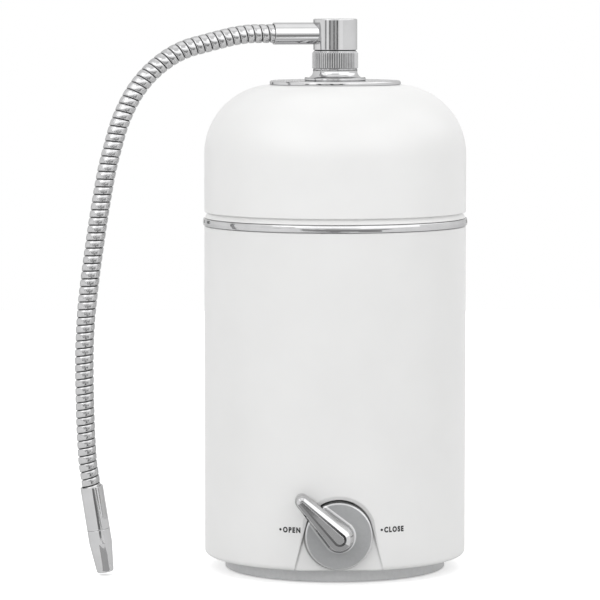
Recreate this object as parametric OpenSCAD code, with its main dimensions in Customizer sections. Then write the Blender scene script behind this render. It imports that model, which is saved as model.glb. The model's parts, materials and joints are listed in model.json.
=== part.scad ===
// Countertop water purifier. A filter cartridge stands in a round body under
// a domed cover. A quarter-turn tap at the foot of the front lets water in,
// and it leaves through a gooseneck spout that swivels on top of the cover.
// Origin: centre of the footprint, on the table. The front faces -Y.

/* [Body shell] */
// Outside diameter of the body and of the cover
body_d = 140; // [130:1:170]
// Height of the shell, from its bottom edge to the trim band
shell_h = 175.6; // [160:0.2:220]
// Thickness of the shell's side wall
shell_wall = 3; // [2.4:0.1:4]
// Thickness of the shell's floor ring
floor_t = 3; // [2:0.1:5]
// Rounding of the shell's bottom edge
edge_r = 2.5; // [0.5:0.1:2.9]
// Depth of the step that the trim band sits in
neck_step = 1.5; // [1:0.1:2]
// Height of the collar that stands up inside the cover
collar_h = 12; // [9:0.5:20]
// Wall of that collar
collar_wall = 4; // [3.6:0.1:5]
// Width of the ledge that carries the cartridge tray
ledge_w = 3; // [2:0.1:4]

/* [Trim band] */
// Height of the trim band
band_h = 4.3; // [3:0.1:7]
// How far the band stands proud of the shell
band_proud = 0.8; // [0.4:0.1:1.4]
// Height of the open groove between the band and the cover
groove_h = 3; // [1:0.1:5]

/* [Plinth and feet] */
// How far the plinth stands in from the body's side
plinth_inset = 11; // [6:0.5:16]
// Height of the plinth
plinth_h = 7; // [5.4:0.1:12]
// Wall of the plinth
plinth_wall = 2.5; // [1.6:0.1:4]
// Floor of the plinth
plinth_floor_t = 2.6; // [2.4:0.1:4]
// Height of the shadow gap under the shell
shadow_h = 0.8; // [0.4:0.1:1.6]
// Depth of the shadow gap
shadow_depth = 1.5; // [0.8:0.1:2]
// Diameter of a rubber foot
foot_d = 14; // [8:0.5:18]
// Height that the feet stand out of the plinth
foot_proud = 0.6; // [0.4:0.1:3]
// Depth of a foot's recess
foot_recess = 1.2; // [0.6:0.1:1.6]
// Distance of a foot's centre from the plinth's side
foot_inset = 15; // [11:0.5:22]
// Number of feet, and of plinth screws between them
foot_n = 4; // [3:1:6]

/* [Plinth screws] */
// Shank diameter
screw_d = 3; // [2.5:0.1:4]
// Head diameter
screw_head_d = 6; // [5:0.1:7]
// Head height
screw_head_h = 1.5; // [1:0.1:1.8]
// Shank length
screw_l = 13; // [10:0.5:14]
// Distance of a screw from the plinth's side
screw_inset = 6; // [5:0.5:8]
// Diameter of the bosses that the screws go through and into
boss_d = 8; // [7:0.5:10]
// Height of the bosses on the shell's floor
boss_h = 8; // [7:0.5:12]

/* [Cover] */
// Wall of the cover
cover_wall = 3; // [2.4:0.1:4]
// Height of the cover's straight side
cover_side_h = 33.9; // [24:0.1:50]
// Radius of the cover's shoulder
shoulder_r = 35; // [30:0.5:40]
// Thickness of the top plate
plate_t = 2.2; // [1.2:0.1:4]
// Rounding of the plate's edge
plate_edge_r = 1.1; // [0.4:0.1:1.1]

/* [Outlet] */
// Diameter of the pedestal's flange
flange_d = 32.8; // [30:0.2:40]
// Thickness of the flange
flange_t = 1.5; // [1:0.1:3]
// Diameter of the pedestal under the nut
flare_d = 23.7; // [22:0.1:26]
// Height of the flare
flare_h = 3.9; // [3:0.1:4]
// Radius of the flare's hollow curve
flare_r = 4; // [4:0.1:6]
// Diameter of the threaded stem
stem_d = 18; // [16.4:0.1:19]
// Bore of the stem
stem_bore = 12; // [11:0.1:13]
// Length of the stem below the lock nut
stem_tail = 3; // [1:0.5:6]
// Diameter of the gasket inside the cover
gasket_d = 29; // [24:0.5:36]
// Thickness of the gasket inside the cover
gasket_t = 1.5; // [1:0.1:3]
// Height of the lock nut inside the cover
lock_nut_h = 6; // [4:0.5:8]
// Width of the lock nut across its flats
lock_nut_af = 27; // [24:0.5:30]

/* [Union nut] */
// Diameter over the knurling
nut_d = 24.5; // [23:0.1:28]
// Height of the nut
nut_h = 10; // [8:0.1:14]
// Number of knurling ridges
nut_ridges = 60; // [30:1:72]
// Depth of the knurling
nut_ridge_depth = 0.5; // [0.2:0.05:0.55]
// Height of the plain lands above and below the knurling
nut_land_h = 0.6; // [0.3:0.1:2]
// How far the lands lie below the ridges
nut_land_in = 0.6; // [0.6:0.1:1]
// Thickness of the lip that holds the elbow down
nut_lip_t = 1.7; // [1.2:0.1:2.5]

/* [Spout elbow] */
// Diameter of the elbow
elbow_d = 23.5; // [20:0.1:28]
// Height of the elbow
elbow_h = 16.5; // [15:0.1:24]
// Height of the spout's axis above the underside of the elbow
spout_rise = 8.7; // [7.5:0.1:9]
// Gap between the nut and the elbow
elbow_gap = 0.6; // [0.3:0.1:1.5]
// Diameter of the elbow's neck in the nut
neck_d = 14; // [12.4:0.1:15]
// Thickness of the collar under the neck
neck_collar_t = 1.8; // [1:0.1:2.5]
// Length of the spigot in the stem
elbow_spigot_l = 9.5; // [7:0.1:10]
// Water way in the elbow
elbow_bore = 6; // [4:0.1:6.4]
// Edge break on the elbow and the other turned pieces
edge_break = 0.6; // [0.2:0.1:0.8]
// Angle of the spout from the -X side towards the front
spout_turn = 13; // [0:1:90]

/* [Gooseneck and nozzle] */
// Diameter of the ferrule, the sleeve and the nozzle
ferrule_d = 11.7; // [11:0.1:14]
// Length of the ferrule at the elbow
ferrule_l = 22.2; // [16:0.1:30]
// Diameter of the tails inside the ferrule and the sleeve
tail_d = 8.6; // [8:0.1:9]
// Diameter of the gooseneck over its ribs
hose_d = 9.6; // [9.2:0.1:10.4]
// Depth of the valleys between ribs
rib_depth = 0.6; // [0.2:0.05:0.8]
// Distance from rib to rib
rib_pitch = 4.08; // [3.6:0.02:6]
// Bore of the gooseneck
hose_bore = 6; // [4:0.1:6.4]
// Angle of the hanging nozzle from upright
nozzle_tilt = 9; // [0:0.5:20]
// Length of the sleeve at the end of the gooseneck
sleeve_l = 22.8; // [16:0.1:23]
// Length of the nozzle's straight part
nozzle_straight = 7.5; // [4:0.1:8]
// Length of the nozzle's taper
nozzle_taper = 15; // [8:0.1:15.4]
// Diameter at the nozzle's mouth
nozzle_mouth_d = 8.2; // [7:0.1:10]
// Outlet bore of the nozzle
nozzle_bore = 5; // [3:0.1:6]
// Length of the nozzle's tail in the sleeve
nozzle_tail = 12; // [6:0.5:15]

/* [Tap knob] */
// Height of the tap's axis, and of the inlet behind it, above the shell's bottom edge
tap_rise = 18.7; // [18:0.1:24]
// Diameter of the knob disc
knob_d = 35; // [32:0.1:36]
// Thickness of the knob disc
knob_t = 4.4; // [3.6:0.1:6]
// Bevel of the disc's rim
knob_bevel = 0.8; // [0.3:0.1:1.2]
// Running gap behind the disc
knob_gap = 0.6; // [0.3:0.1:1]
// Depth of the groove that the lever lies in
knob_groove = 2.6; // [1.6:0.1:2.9]
// Room on each side of the lever in its groove
groove_room = 1.9; // [0.8:0.1:2.4]
// Length of the lever, from the tap's axis to the centre of its tip
lever_l = 27.5; // [22:0.5:34]
// Width of the lever at its hub
lever_hub_w = 12.6; // [11.6:0.1:14]
// Width of the lever at its tip
lever_tip_w = 6.6; // [5:0.1:9]
// Width of the lever's flat ridge at the hub
ridge_hub_w = 6; // [3:0.1:8]
// Width of the lever's flat ridge at the tip
ridge_tip_w = 1.9; // [1:0.1:4]
// Diameter of the post under the lever
lever_post_d = 11.6; // [10.4:0.1:12]
// Height of the lever
lever_h = 12; // [6:0.1:16]
// Gap between the lever and the side of the body
lever_gap = 1.6; // [0.6:0.1:3]
// Angle of the lever at rest, up from the right-hand side
lever_angle = 135; // [90:5:180]

/* [Knob pocket] */
// Depth of the pocket at the middle of the front
pocket_depth = 4.4; // [3:0.1:5]
// Gap at the sides of the knob disc
pocket_gap = 0.8; // [0.5:0.1:2]
// Rise of the pocket's arch above the middle of the disc
pocket_rise = 1.4; // [0:0.1:3]
// Width of the pocket's sloping lip
pocket_lip = 1.2; // [0.6:0.1:3]
// Width of the pocket at the shell's bottom edge
pocket_skirt = 47.4; // [40:0.2:50]

/* [Tap valve] */
// Diameter of the snout in the shell
snout_d = 22; // [20:0.1:22.4]
// Diameter of the valve's barrel
barrel_d = 24; // [22.4:0.1:26]
// Length of the valve, from the face of the pocket
valve_l = 28; // [24:0.5:36]
// Thickness of the valve's flange
valve_flange_t = 4; // [3:0.1:6]
// Distance between the two valve screws
valve_screw_span = 27; // [26.6:0.1:29]
// Diameter of the valve screws
valve_screw_d = 2.5; // [2:0.1:2.6]
// Length of the valve screws
valve_screw_l = 6.5; // [5:0.5:6.5]
// Diameter of the ceramic discs
ceramic_d = 16.4; // [15:0.1:16.6]
// Thickness of a ceramic disc
ceramic_t = 3; // [2:0.1:4]
// Diameter of the spindle
spindle_d = 10; // [9.6:0.1:11]
// Width of the spindle's square end
spindle_square = 6.6; // [6:0.1:6.7]
// Length of the square in the lever, past the disc
square_grip = 5; // [3:0.1:6]
// Diameter of the spindle's collar
spindle_collar_d = 14.4; // [12:0.1:15]
// Thickness of the spindle's collar
spindle_collar_t = 2.6; // [2:0.1:3.5]
// Length of the gland
gland_l = 7; // [5.6:0.1:8]
// Diameter of the barbs that the tubes push onto
barb_d = 5.4; // [5:0.1:6]
// Length of the barbs
barb_l = 7.8; // [5:0.1:8]
// Water way in the barbs
barb_bore = 3.4; // [2.5:0.1:3.8]

/* [Tubes] */
// Wall of the inner tubes
tube_wall = 1.3; // [0.8:0.1:1.6]

/* [Inlet] */
// Depth of the flat seat behind the inlet's flange
seat_depth = 1; // [0.95:0.05:1.2]
// Thickness of the pad inside the shell, around the inlet
inlet_pad_t = 1.5; // [1:0.1:3]
// Diameter of the inlet's flange
inlet_flange_d = 20; // [18:0.5:22]
// Thickness of the inlet's flange
inlet_flange_t = 4; // [2:0.1:6]
// Diameter of the inlet's nose
nose_d = 16; // [14.4:0.1:17]
// Length of the nose behind the flange
nose_l = 6; // [4:0.1:9]
// Diameter of the barrel through the shell
inlet_barrel_d = 14; // [13.4:0.1:15]
// Length of the barrel from the seat
inlet_barrel_l = 19; // [17:0.5:24]
// Bore for the supply tube
supply_bore = 6.5; // [6.4:0.05:6.8]
// Depth of that bore behind the collet
supply_depth = 10; // [8:0.5:12]
// Outside diameter of the collet's sleeve
collet_d = 10; // [9.4:0.1:10.6]
// Length of the collet's sleeve in the nose
collet_l = 6; // [5:0.1:8]
// Travel of the collet
collet_travel = 1.5; // [1:0.1:2]
// Thickness of the collet's rim
collet_rim_t = 1.5; // [1:0.1:2.5]
// Width of the inlet's lock nut across its flats
inlet_nut_af = 19; // [18:0.5:20]
// Height of the inlet's lock nut
inlet_nut_h = 6; // [4:0.5:8]

/* [Cartridge] */
// Height of the tray above the shell's bottom edge
tray_rise = 48.4; // [46:0.2:60]
// Thickness of the tray
tray_t = 3; // [2:0.1:5]
// Height of the ring that the cartridge stands on
stand_h = 4; // [3:0.1:8]
// Distance of that ring from the cartridge's side
stand_inset = 10; // [4:0.5:16]
// Width of that ring
stand_w = 6; // [3:0.5:8]
// Gap between the cartridge and the shell's collar
cartridge_gap = 2.5; // [1.5:0.1:5]
// Wall of the cartridge can
can_wall = 2; // [1.2:0.1:3]
// Height of a cartridge cap's rim
cap_rim_h = 10; // [6:0.5:14]
// Depth of a cap's spigot in the can
cap_spigot_l = 4; // [2:0.1:6]
// Height of the hub on the upper cap
cap_hub_h = 6; // [3:0.1:8]
// Diameter of the hub on the upper cap
cap_hub_d = 24; // [18:0.5:40]
// Gap between the hub and the outlet's stem
cap_hub_gap = 2; // [1:0.1:4]
// Length of the cartridge's outlet spigot
cap_outlet_l = 8.5; // [7.6:0.1:9]
// Thickness of the sediment pad
pad_t = 8; // [4:0.5:20]
// Height of the carbon bed
carbon_h = 70; // [40:1:80]
// Thickness of the media screen
screen_t = 4; // [2:0.5:8]
// Number of flow holes in the lower cap
flow_n = 12; // [6:1:18]
// Diameter of a flow hole
flow_d = 6; // [3:0.5:8]

/* [Seals] */
// Section of the small O-rings
small_seal = 1.6; // [1.2:0.1:1.8]
// Section of the cover's O-ring
cover_seal_section = 2.2; // [1.8:0.1:2.4]

/* [Clearances] */
// Radial clearance of a turning or sliding fit
run_clear = 0.05; // [0.02:0.01:0.1]
// Radial clearance of a fixed fit
fit_clear = 0.05; // [0.02:0.01:0.15]
// Clearance between pieces that move past each other
open_clear = 0.3; // [0.2:0.05:0.5]
// Radial clearance of the shell's collar in the cover
collar_clear = 0.5; // [0.4:0.05:0.8]
// Clearance between a seal and the bore it seals
seal_clear = 0.12; // [0.08:0.01:0.2]

/* [Hidden] */
$fn = 64;

// Overlap that carries a cut or a joined piece through a face
over = 1;
// Thickness of the slices that a blended shape is stretched over
slice = 0.01;

white_gloss = [0.93, 0.93, 0.92];
chrome = [0.78, 0.79, 0.8];
plinth_grey = [0.64, 0.65, 0.66];
brass_yellow = [0.72, 0.58, 0.3];
rubber_black = [0.08, 0.08, 0.08];
inner_white = [0.85, 0.86, 0.85];

// Levels, from the table up
z_shell = foot_proud + plinth_h;
z_floor = z_shell + floor_t;
z_tap = z_shell + tap_rise;
z_tray = z_shell + tray_rise;
z_band = z_shell + shell_h;
z_groove = z_band + band_h;
z_cover = z_groove + groove_h;
cover_h = cover_side_h + shoulder_r;
z_top = z_cover + cover_h;
z_ceiling = z_top - cover_wall;
z_plate = z_top + plate_t;
z_nut = z_plate + flange_t + flare_h + open_clear;
z_nut_top = z_nut + nut_h;
z_elbow = z_nut_top + elbow_gap;
z_spout = z_elbow + spout_rise;
z_neck_collar = z_nut_top - nut_lip_t - open_clear - neck_collar_t;
z_stem = z_ceiling - gasket_t - lock_nut_h - stem_tail;
z_hub = z_stem - cap_hub_gap;
z_cap_top = z_hub - cap_hub_h;
z_cartridge = z_tray + tray_t + stand_h;
z_can = z_cartridge + cap_rim_h;
z_can_top = z_cap_top - cap_rim_h;
z_media = z_can + cap_spigot_l;
z_media_top = z_can_top - cap_spigot_l;

// Radii of the body, from the outside in
body_r = body_d / 2;
shell_in_r = body_r - shell_wall;
neck_r = body_r - neck_step;
cover_in_r = body_r - cover_wall;
collar_r = cover_in_r - collar_clear;
collar_in_r = collar_r - collar_wall;
flat_r = body_r - shoulder_r;
plinth_r = body_r - plinth_inset;
foot_circle_r = plinth_r - foot_inset;
screw_circle_r = plinth_r - screw_inset;
floor_in_r = screw_circle_r - boss_d / 2 - over;
cartridge_r = collar_in_r - cartridge_gap;
can_in_r = cartridge_r - can_wall;
stand_r = cartridge_r - stand_inset;

// Seats of the O-rings
cover_seal_r = cover_in_r - seal_clear - cover_seal_section / 2;
stem_seal_r = stem_bore / 2 - seal_clear - small_seal / 2;
spindle_seal_r = spindle_d / 2 + run_clear - seal_clear - small_seal / 2;
seal_seat_clear = 0.05;

// Tap, measured inwards from the face of the pocket
y_pocket = pocket_depth - body_r;
pocket_r = knob_d / 2 + pocket_gap;
lever_under = pocket_depth + lever_gap;
knob_face = knob_gap + knob_t;
groove_floor = knob_face - knob_groove;
// Keeps the straight sides of the lever's groove just inside its round end
groove_tuck = 0.05;
gland_set = open_clear;
collar_at = gland_set + gland_l + open_clear;
moving_at = collar_at + spindle_collar_t;
fixed_at = moving_at + ceramic_t;
seat_at = fixed_at + ceramic_t;
valve_bore = ceramic_d + 2 * open_clear;
outlet_at = collar_at + spindle_collar_t / 2;
port_offset = ceramic_d / 4;
port_d = ceramic_d / 4;

// Inlet
y_seat = body_r - seat_depth;
seat_d = inlet_flange_d + 2 * open_clear;
pad_depth = shell_wall + inlet_pad_t;
tube_d = barb_d + 2 * fit_clear + 2 * tube_wall;
barrel_end = y_seat - inlet_barrel_l;
// Floor of the collet's bore, above the seat
collet_floor = inlet_flange_t + nose_l - collet_l - collet_travel - open_clear;

// Gooseneck: reach from the ferrule's mouth and drop below the spout's axis
hose_route = [
  [10, 0], [20, 1], [29, 3], [38, 5.3], [46.5, 7.6], [55, 11.5], [63.5, 17.5], [71, 25],
  [77.6, 34.5], [83.4, 47], [87.3, 60], [90.5, 72.5], [94, 91.5], [97, 110.5], [99.7, 129.5],
  [101.8, 148.5], [102.8, 167.5], [102.8, 186.5], [102.4, 205], [101.8, 218], [100.9, 229]
];
mouth_x = elbow_d / 2 + ferrule_l;
hose_lead = max(hose_route[0][0], hose_d);
nozzle_dir = [-sin(nozzle_tilt), cos(nozzle_tilt)];
hose_last = len(hose_route) - 1;
hose_end = hose_route[hose_last] + hose_lead * nozzle_dir;
hose_steps = 10;
hose_probe = 0.5;
hose_sides = 8;

// Slope of the gooseneck at a route point
function hose_slope(i) =
  i == 0 ? norm(hose_route[1] - hose_route[0]) * [1, 0]
  : i == hose_last ? norm(hose_route[i] - hose_route[i - 1]) * nozzle_dir
  : (hose_route[i + 1] - hose_route[i - 1]) / 2;

// Smooth curve between two route points, t from 0 to 1
function hose_curve(i, t) =
  (2 * t ^ 3 - 3 * t ^ 2 + 1) * hose_route[i]
  + (t ^ 3 - 2 * t ^ 2 + t) * hose_slope(i)
  + (3 * t ^ 2 - 2 * t ^ 3) * hose_route[i + 1]
  + (t ^ 3 - t ^ 2) * hose_slope(i + 1);

hose_line = concat(
  [[0, 0]],
  [for (i = [0:hose_last - 1]) for (k = [0:hose_steps - 1]) hose_curve(i, k / hose_steps)],
  [hose_route[hose_last], hose_end]
);
hose_way = [
  for (
    i = 0, s = 0;
    i < len(hose_line);
    s = s + (i < len(hose_line) - 1 ? norm(hose_line[i + 1] - hose_line[i]) : 0), i = i + 1
  ) s
];
hose_l = hose_way[len(hose_way) - 1];
hose_reach = [for (i = [0:len(hose_line) - 1]) [hose_way[i], hose_line[i][0]]];
hose_drop = [for (i = [0:len(hose_line) - 1]) [hose_way[i], hose_line[i][1]]];

// Point of the gooseneck's centre line and its direction, s along the way
function hose_at(s) = [mouth_x + lookup(s, hose_reach), 0, z_spout - lookup(s, hose_drop)];
function hose_dir(s) =
  let (chord = hose_at(s + hose_probe) - hose_at(s - hose_probe))
    chord / norm(chord);

// Ring of points of radius r around the gooseneck's centre line
function hose_ring(s, r) = [
  for (j = [0:hose_sides - 1])
    let (d = hose_dir(s), a = 360 * (j + 0.5) / hose_sides)
      hose_at(s) + r * cos(a) * [-d[2], 0, d[0]] + r * sin(a) * [0, 1, 0]
];

// Triangles between ring i and ring i + 1, with the rings starting at point first
function tube_side(first, i, flip) = [
  for (j = [0:hose_sides - 1])
    let (
      a = first + i * hose_sides + j,
      b = first + i * hose_sides + (j + 1) % hose_sides,
      c = a + hose_sides,
      d = b + hose_sides
    )
    each flip ? [[a, b, c], [b, d, c]] : [[a, c, b], [b, c, d]]
];

// Triangles of the flat end between an outer ring and an inner ring
function tube_end(outer, inner, flip) = [
  for (j = [0:hose_sides - 1])
    let (
      a = outer + j,
      b = outer + (j + 1) % hose_sides,
      c = inner + j,
      d = inner + (j + 1) % hose_sides
    )
    each flip ? [[a, c, b], [b, c, d]] : [[a, b, c], [b, d, c]]
];

// Frame at the tap: +Z out of the front, +Y up, origin on the face of the pocket
module tap_frame() translate([0, y_pocket, z_tap]) rotate([90, 0, 0]) children();

// Frame at the inlet: +Z out of the back, origin on the flat seat
module inlet_frame() translate([0, y_seat, z_tap]) rotate([-90, 0, 0]) children();

// Frame at the spout: +X along the spout, origin on the body's axis at the table
module spout_frame() rotate([0, 0, 180 + spout_turn]) children();

// Frame at the end of the gooseneck: +Z out of the nozzle
module nozzle_frame()
  spout_frame()
    translate([mouth_x + hose_end[0], 0, z_spout - hose_end[1]])
      rotate([0, 180 + nozzle_tilt, 0])
        children();

// Copies around the body's axis
module around(n, r, turn = 0)
  for (i = [0:n - 1])
    rotate([0, 0, turn + 360 * i / n])
      translate([r, 0, 0])
        children();

// Ring of round section
module o_ring(section, r) rotate_extrude() translate([r, 0]) circle(d = section);

// Outline, from the axis out, of a turned piece with broken edges
module turned(r, h, cut) {
  polygon([[0, 0], [r - cut, 0], [r, cut], [r, h - cut], [r - cut, h], [0, h]]);
}

// What is cut off an outer lower corner to round it
module corner_cut(x, z, r) {
  translate([x - r, z])
    difference() {
      translate([0, -over]) square([r + over, r + over]);
      translate([0, r]) circle(r);
    }
}

// Outline of the cover, from the axis out
module cover_outline(r, h, shoulder) {
  intersection() {
    union() {
      square([r, h - shoulder]);
      square([r - shoulder, h]);
      translate([r - shoulder, h - shoulder]) circle(shoulder);
    }
    square([r, h]);
  }
}

module rubber_feet() {
  color(rubber_black)
    around(foot_n, foot_circle_r)
      rotate_extrude()
        turned(foot_d / 2, foot_proud + foot_recess, foot_proud / 3);
}

module base_plinth() {
  color(plinth_grey)
    difference() {
      union() {
        translate([0, 0, foot_proud])
          rotate_extrude()
            difference() {
              union() {
                turned(plinth_r, plinth_h - shadow_h, edge_break);
                square([plinth_r - shadow_depth, plinth_h]);
              }
              translate([0, plinth_floor_t]) square([plinth_r - shadow_depth - plinth_wall, plinth_h]);
            }
        translate([0, 0, foot_proud])
          around(foot_n, screw_circle_r, 180 / foot_n)
            cylinder(d = boss_d, h = plinth_h - open_clear);
      }
      around(foot_n, foot_circle_r)
        cylinder(d = foot_d + 2 * fit_clear, h = foot_proud + foot_recess);
      around(foot_n, screw_circle_r, 180 / foot_n) {
        cylinder(d = screw_d + 2 * open_clear, h = z_shell + over);
        cylinder(d = screw_head_d + 2 * open_clear, h = foot_proud + screw_head_h);
      }
    }
}

module plinth_screws() {
  color("silver")
    around(foot_n, screw_circle_r, 180 / foot_n)
      translate([0, 0, foot_proud]) {
        cylinder(d = screw_head_d, h = screw_head_h);
        cylinder(d = screw_d, h = screw_head_h + screw_l);
      }
}

// Pocket for the knob: a round well that runs out to the bottom edge in a
// widening skirt, with a sloping lip all round
module knob_pocket() {
  hull()
    for (lip = [[0, 0], [pocket_lip, pocket_depth + over]]) {
      tap_frame()
        translate([0, pocket_rise, lip[1]])
          cylinder(r = pocket_r + lip[0], h = slice, $fn = 40);
      tap_frame()
        translate([-pocket_skirt / 2 - lip[0], -tap_rise - over, lip[1]])
          cube([pocket_skirt + 2 * lip[0], over, slice]);
    }
}

// Section of the shell: floor ring, side, step for the band and collar
module shell_section() {
  ledge_z = z_tray - ledge_w;
  difference() {
    polygon([
      [floor_in_r, z_shell],
      [body_r, z_shell],
      [body_r, z_band],
      [neck_r, z_band],
      [neck_r, z_cover],
      [collar_r, z_cover],
      [collar_r, z_cover + collar_h],
      [collar_in_r, z_cover + collar_h],
      [collar_in_r, z_band],
      [shell_in_r, z_band + collar_in_r - shell_in_r],
      [shell_in_r, z_tray],
      [shell_in_r - ledge_w, z_tray],
      [shell_in_r, ledge_z],
      [shell_in_r, z_floor],
      [floor_in_r, z_floor]
    ]);
    corner_cut(body_r, z_shell, edge_r);
    translate([cover_seal_r - cover_seal_section / 2 - seal_seat_clear, z_cover + collar_h / 2])
      translate([0, -cover_seal_section / 2 - seal_seat_clear])
        square([cover_seal_section * 2, cover_seal_section + 2 * seal_seat_clear]);
  }
}

module body_shell() {
  backing_top = z_tap + pocket_rise + pocket_r + pocket_lip + shell_wall;
  color(white_gloss)
    difference() {
      union() {
        rotate_extrude() shell_section();
        intersection() {
          cylinder(r = body_r - shell_wall / 2, h = backing_top);
          translate([-body_r, -body_r, z_shell])
            cube([body_d, pocket_depth + shell_wall, backing_top - z_shell]);
        }
        translate([0, 0, z_floor - over])
          around(foot_n, screw_circle_r, 180 / foot_n)
            cylinder(d = boss_d, h = boss_h + over);
        inlet_frame()
          translate([0, 0, -pad_depth])
            cylinder(d = seat_d + 2 * over, h = pad_depth - seat_depth);
      }
      knob_pocket();
      tap_frame() {
        translate([0, 0, -shell_wall - over])
          cylinder(d = snout_d + 2 * fit_clear, h = shell_wall + 2 * over);
        for (side = [-1, 1])
          translate([side * valve_screw_span / 2, 0, -shell_wall - over]) {
            cylinder(d = valve_screw_d + 2 * fit_clear, h = shell_wall + 2 * over);
            translate([0, 0, over + shell_wall - valve_screw_d / 2])
              cylinder(d1 = valve_screw_d + 2 * fit_clear, d2 = 2 * valve_screw_d + 2 * fit_clear,
                       h = valve_screw_d / 2 + slice);
          }
      }
      inlet_frame() {
        cylinder(d = seat_d, h = seat_depth + over);
        translate([0, 0, -pad_depth - over])
          cylinder(d = inlet_barrel_d + 2 * fit_clear, h = pad_depth + 2 * over);
      }
      around(foot_n, screw_circle_r, 180 / foot_n)
        cylinder(d = screw_d + 2 * fit_clear, h = foot_proud + screw_head_h + screw_l + over);
    }
}

module trim_band() {
  inner = neck_r + fit_clear;
  bulge = body_r + band_proud - inner;
  bulge_r = (band_proud ^ 2 + (band_h / 2) ^ 2) / (2 * band_proud);
  color(chrome)
    translate([0, 0, z_band])
      rotate_extrude()
        intersection() {
          translate([inner, 0]) square([bulge, band_h]);
          translate([body_r + band_proud - bulge_r, band_h / 2]) circle(bulge_r);
        }
}

module cover_seal() {
  color(rubber_black)
    translate([0, 0, z_cover + collar_h / 2])
      o_ring(cover_seal_section, cover_seal_r);
}

module cover() {
  color(white_gloss)
    translate([0, 0, z_cover])
      difference() {
        rotate_extrude()
          difference() {
            cover_outline(body_r, cover_h, shoulder_r);
            translate([0, -over])
              cover_outline(cover_in_r, cover_h - cover_wall + over, shoulder_r - cover_wall);
          }
        cylinder(d = stem_d + 2 * fit_clear, h = cover_h + over);
      }
}

module top_plate() {
  color(chrome)
    translate([0, 0, z_top])
      difference() {
        rotate_extrude()
          difference() {
            square([flat_r, plate_t]);
            translate([0, plate_t]) mirror([0, 1]) corner_cut(flat_r, 0, plate_edge_r);
          }
        translate([0, 0, -over]) cylinder(d = stem_d + 2 * fit_clear, h = plate_t + 2 * over);
      }
}

module outlet_pedestal() {
  base = z_plate - z_stem;
  color(chrome)
    translate([0, 0, z_stem])
      difference() {
        union() {
          rotate_extrude() {
            translate([0, base]) turned(flange_d / 2, flange_t, flange_t / 4);
            translate([0, base + flange_t / 2])
              difference() {
                square([flange_d / 2 - edge_break, flare_h + flange_t / 2]);
                translate([flare_d / 2 + flare_r, flare_h + flange_t / 2]) circle(flare_r);
                translate([flare_d / 2 + flare_r, -over]) square([flange_d, flare_h + 2 * over]);
              }
          }
          cylinder(d = stem_d, h = z_neck_collar - z_stem);
        }
        translate([0, 0, -over]) cylinder(d = stem_bore, h = z_neck_collar - z_stem + 2 * over);
      }
}

module stem_gasket() {
  color(rubber_black)
    translate([0, 0, z_ceiling - gasket_t])
      difference() {
        cylinder(d = gasket_d, h = gasket_t);
        translate([0, 0, -over]) cylinder(d = stem_d + 2 * fit_clear, h = gasket_t + 2 * over);
      }
}

module stem_lock_nut() {
  color(brass_yellow)
    translate([0, 0, z_ceiling - gasket_t - lock_nut_h])
      difference() {
        cylinder(d = lock_nut_af / cos(30), h = lock_nut_h, $fn = 6);
        translate([0, 0, -over]) cylinder(d = stem_d + 2 * fit_clear, h = lock_nut_h + 2 * over);
      }
}

module union_nut() {
  color(chrome)
    translate([0, 0, z_nut])
      difference() {
        union() {
          translate([0, 0, nut_land_h])
            linear_extrude(nut_h - 2 * nut_land_h)
              polygon([
                for (i = [0:2 * nut_ridges - 1])
                  let (r = nut_d / 2 - (i % 2) * nut_ridge_depth, a = 180 * i / nut_ridges)
                    [r * cos(a), r * sin(a)]
              ]);
          cylinder(r = nut_d / 2 - nut_land_in, h = nut_h);
        }
        translate([0, 0, -over])
          cylinder(d = stem_d + 2 * fit_clear, h = nut_h - nut_lip_t + over);
        cylinder(d = neck_d + 2 * open_clear, h = nut_h + over);
      }
}

module swivel_elbow() {
  spigot_z = z_neck_collar - elbow_spigot_l;
  color(chrome)
    spout_frame()
      difference() {
        union() {
          translate([0, 0, z_elbow]) rotate_extrude() turned(elbow_d / 2, elbow_h, edge_break);
          translate([0, 0, z_neck_collar]) cylinder(d = neck_d, h = z_elbow - z_neck_collar + over);
          translate([0, 0, z_neck_collar]) cylinder(d = stem_d - 2 * open_clear, h = neck_collar_t);
          translate([0, 0, spigot_z])
            cylinder(d = stem_bore - 2 * run_clear, h = elbow_spigot_l + over);
          translate([0, 0, z_spout]) rotate([0, 90, 0]) cylinder(d = tail_d, h = mouth_x);
        }
        translate([0, 0, spigot_z - over])
          cylinder(d = elbow_bore, h = z_spout - spigot_z + over);
        translate([0, 0, z_spout]) sphere(d = elbow_bore);
        translate([0, 0, z_spout]) rotate([0, 90, 0]) cylinder(d = elbow_bore, h = mouth_x + over);
        translate([0, 0, spigot_z + elbow_spigot_l / 2]) seal_groove(stem_seal_r, small_seal);
      }
}

// Groove around a spigot for an O-ring of the given section
module seal_groove(r, section) {
  inner = r - section / 2 - seal_seat_clear;
  h = section + 2 * seal_seat_clear;
  translate([0, 0, -h / 2])
    difference() {
      cylinder(r = inner + 2 * section, h = h);
      translate([0, 0, -over]) cylinder(r = inner, h = h + 2 * over);
    }
}

module swivel_seal() {
  color(rubber_black)
    translate([0, 0, z_neck_collar - elbow_spigot_l / 2])
      o_ring(small_seal, stem_seal_r);
}

module hose_ferrule() {
  color(chrome)
    spout_frame()
      difference() {
        translate([0, 0, z_spout])
          rotate([0, 90, 0])
            rotate_extrude()
              turned(ferrule_d / 2, mouth_x, edge_break / 2);
        translate([0, 0, z_spout])
          rotate([0, 90, 0])
            cylinder(d = tail_d + 2 * fit_clear, h = mouth_x + over);
        cylinder(d = elbow_d + 2 * fit_clear, h = z_elbow + elbow_h + ferrule_d);
      }
}

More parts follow.
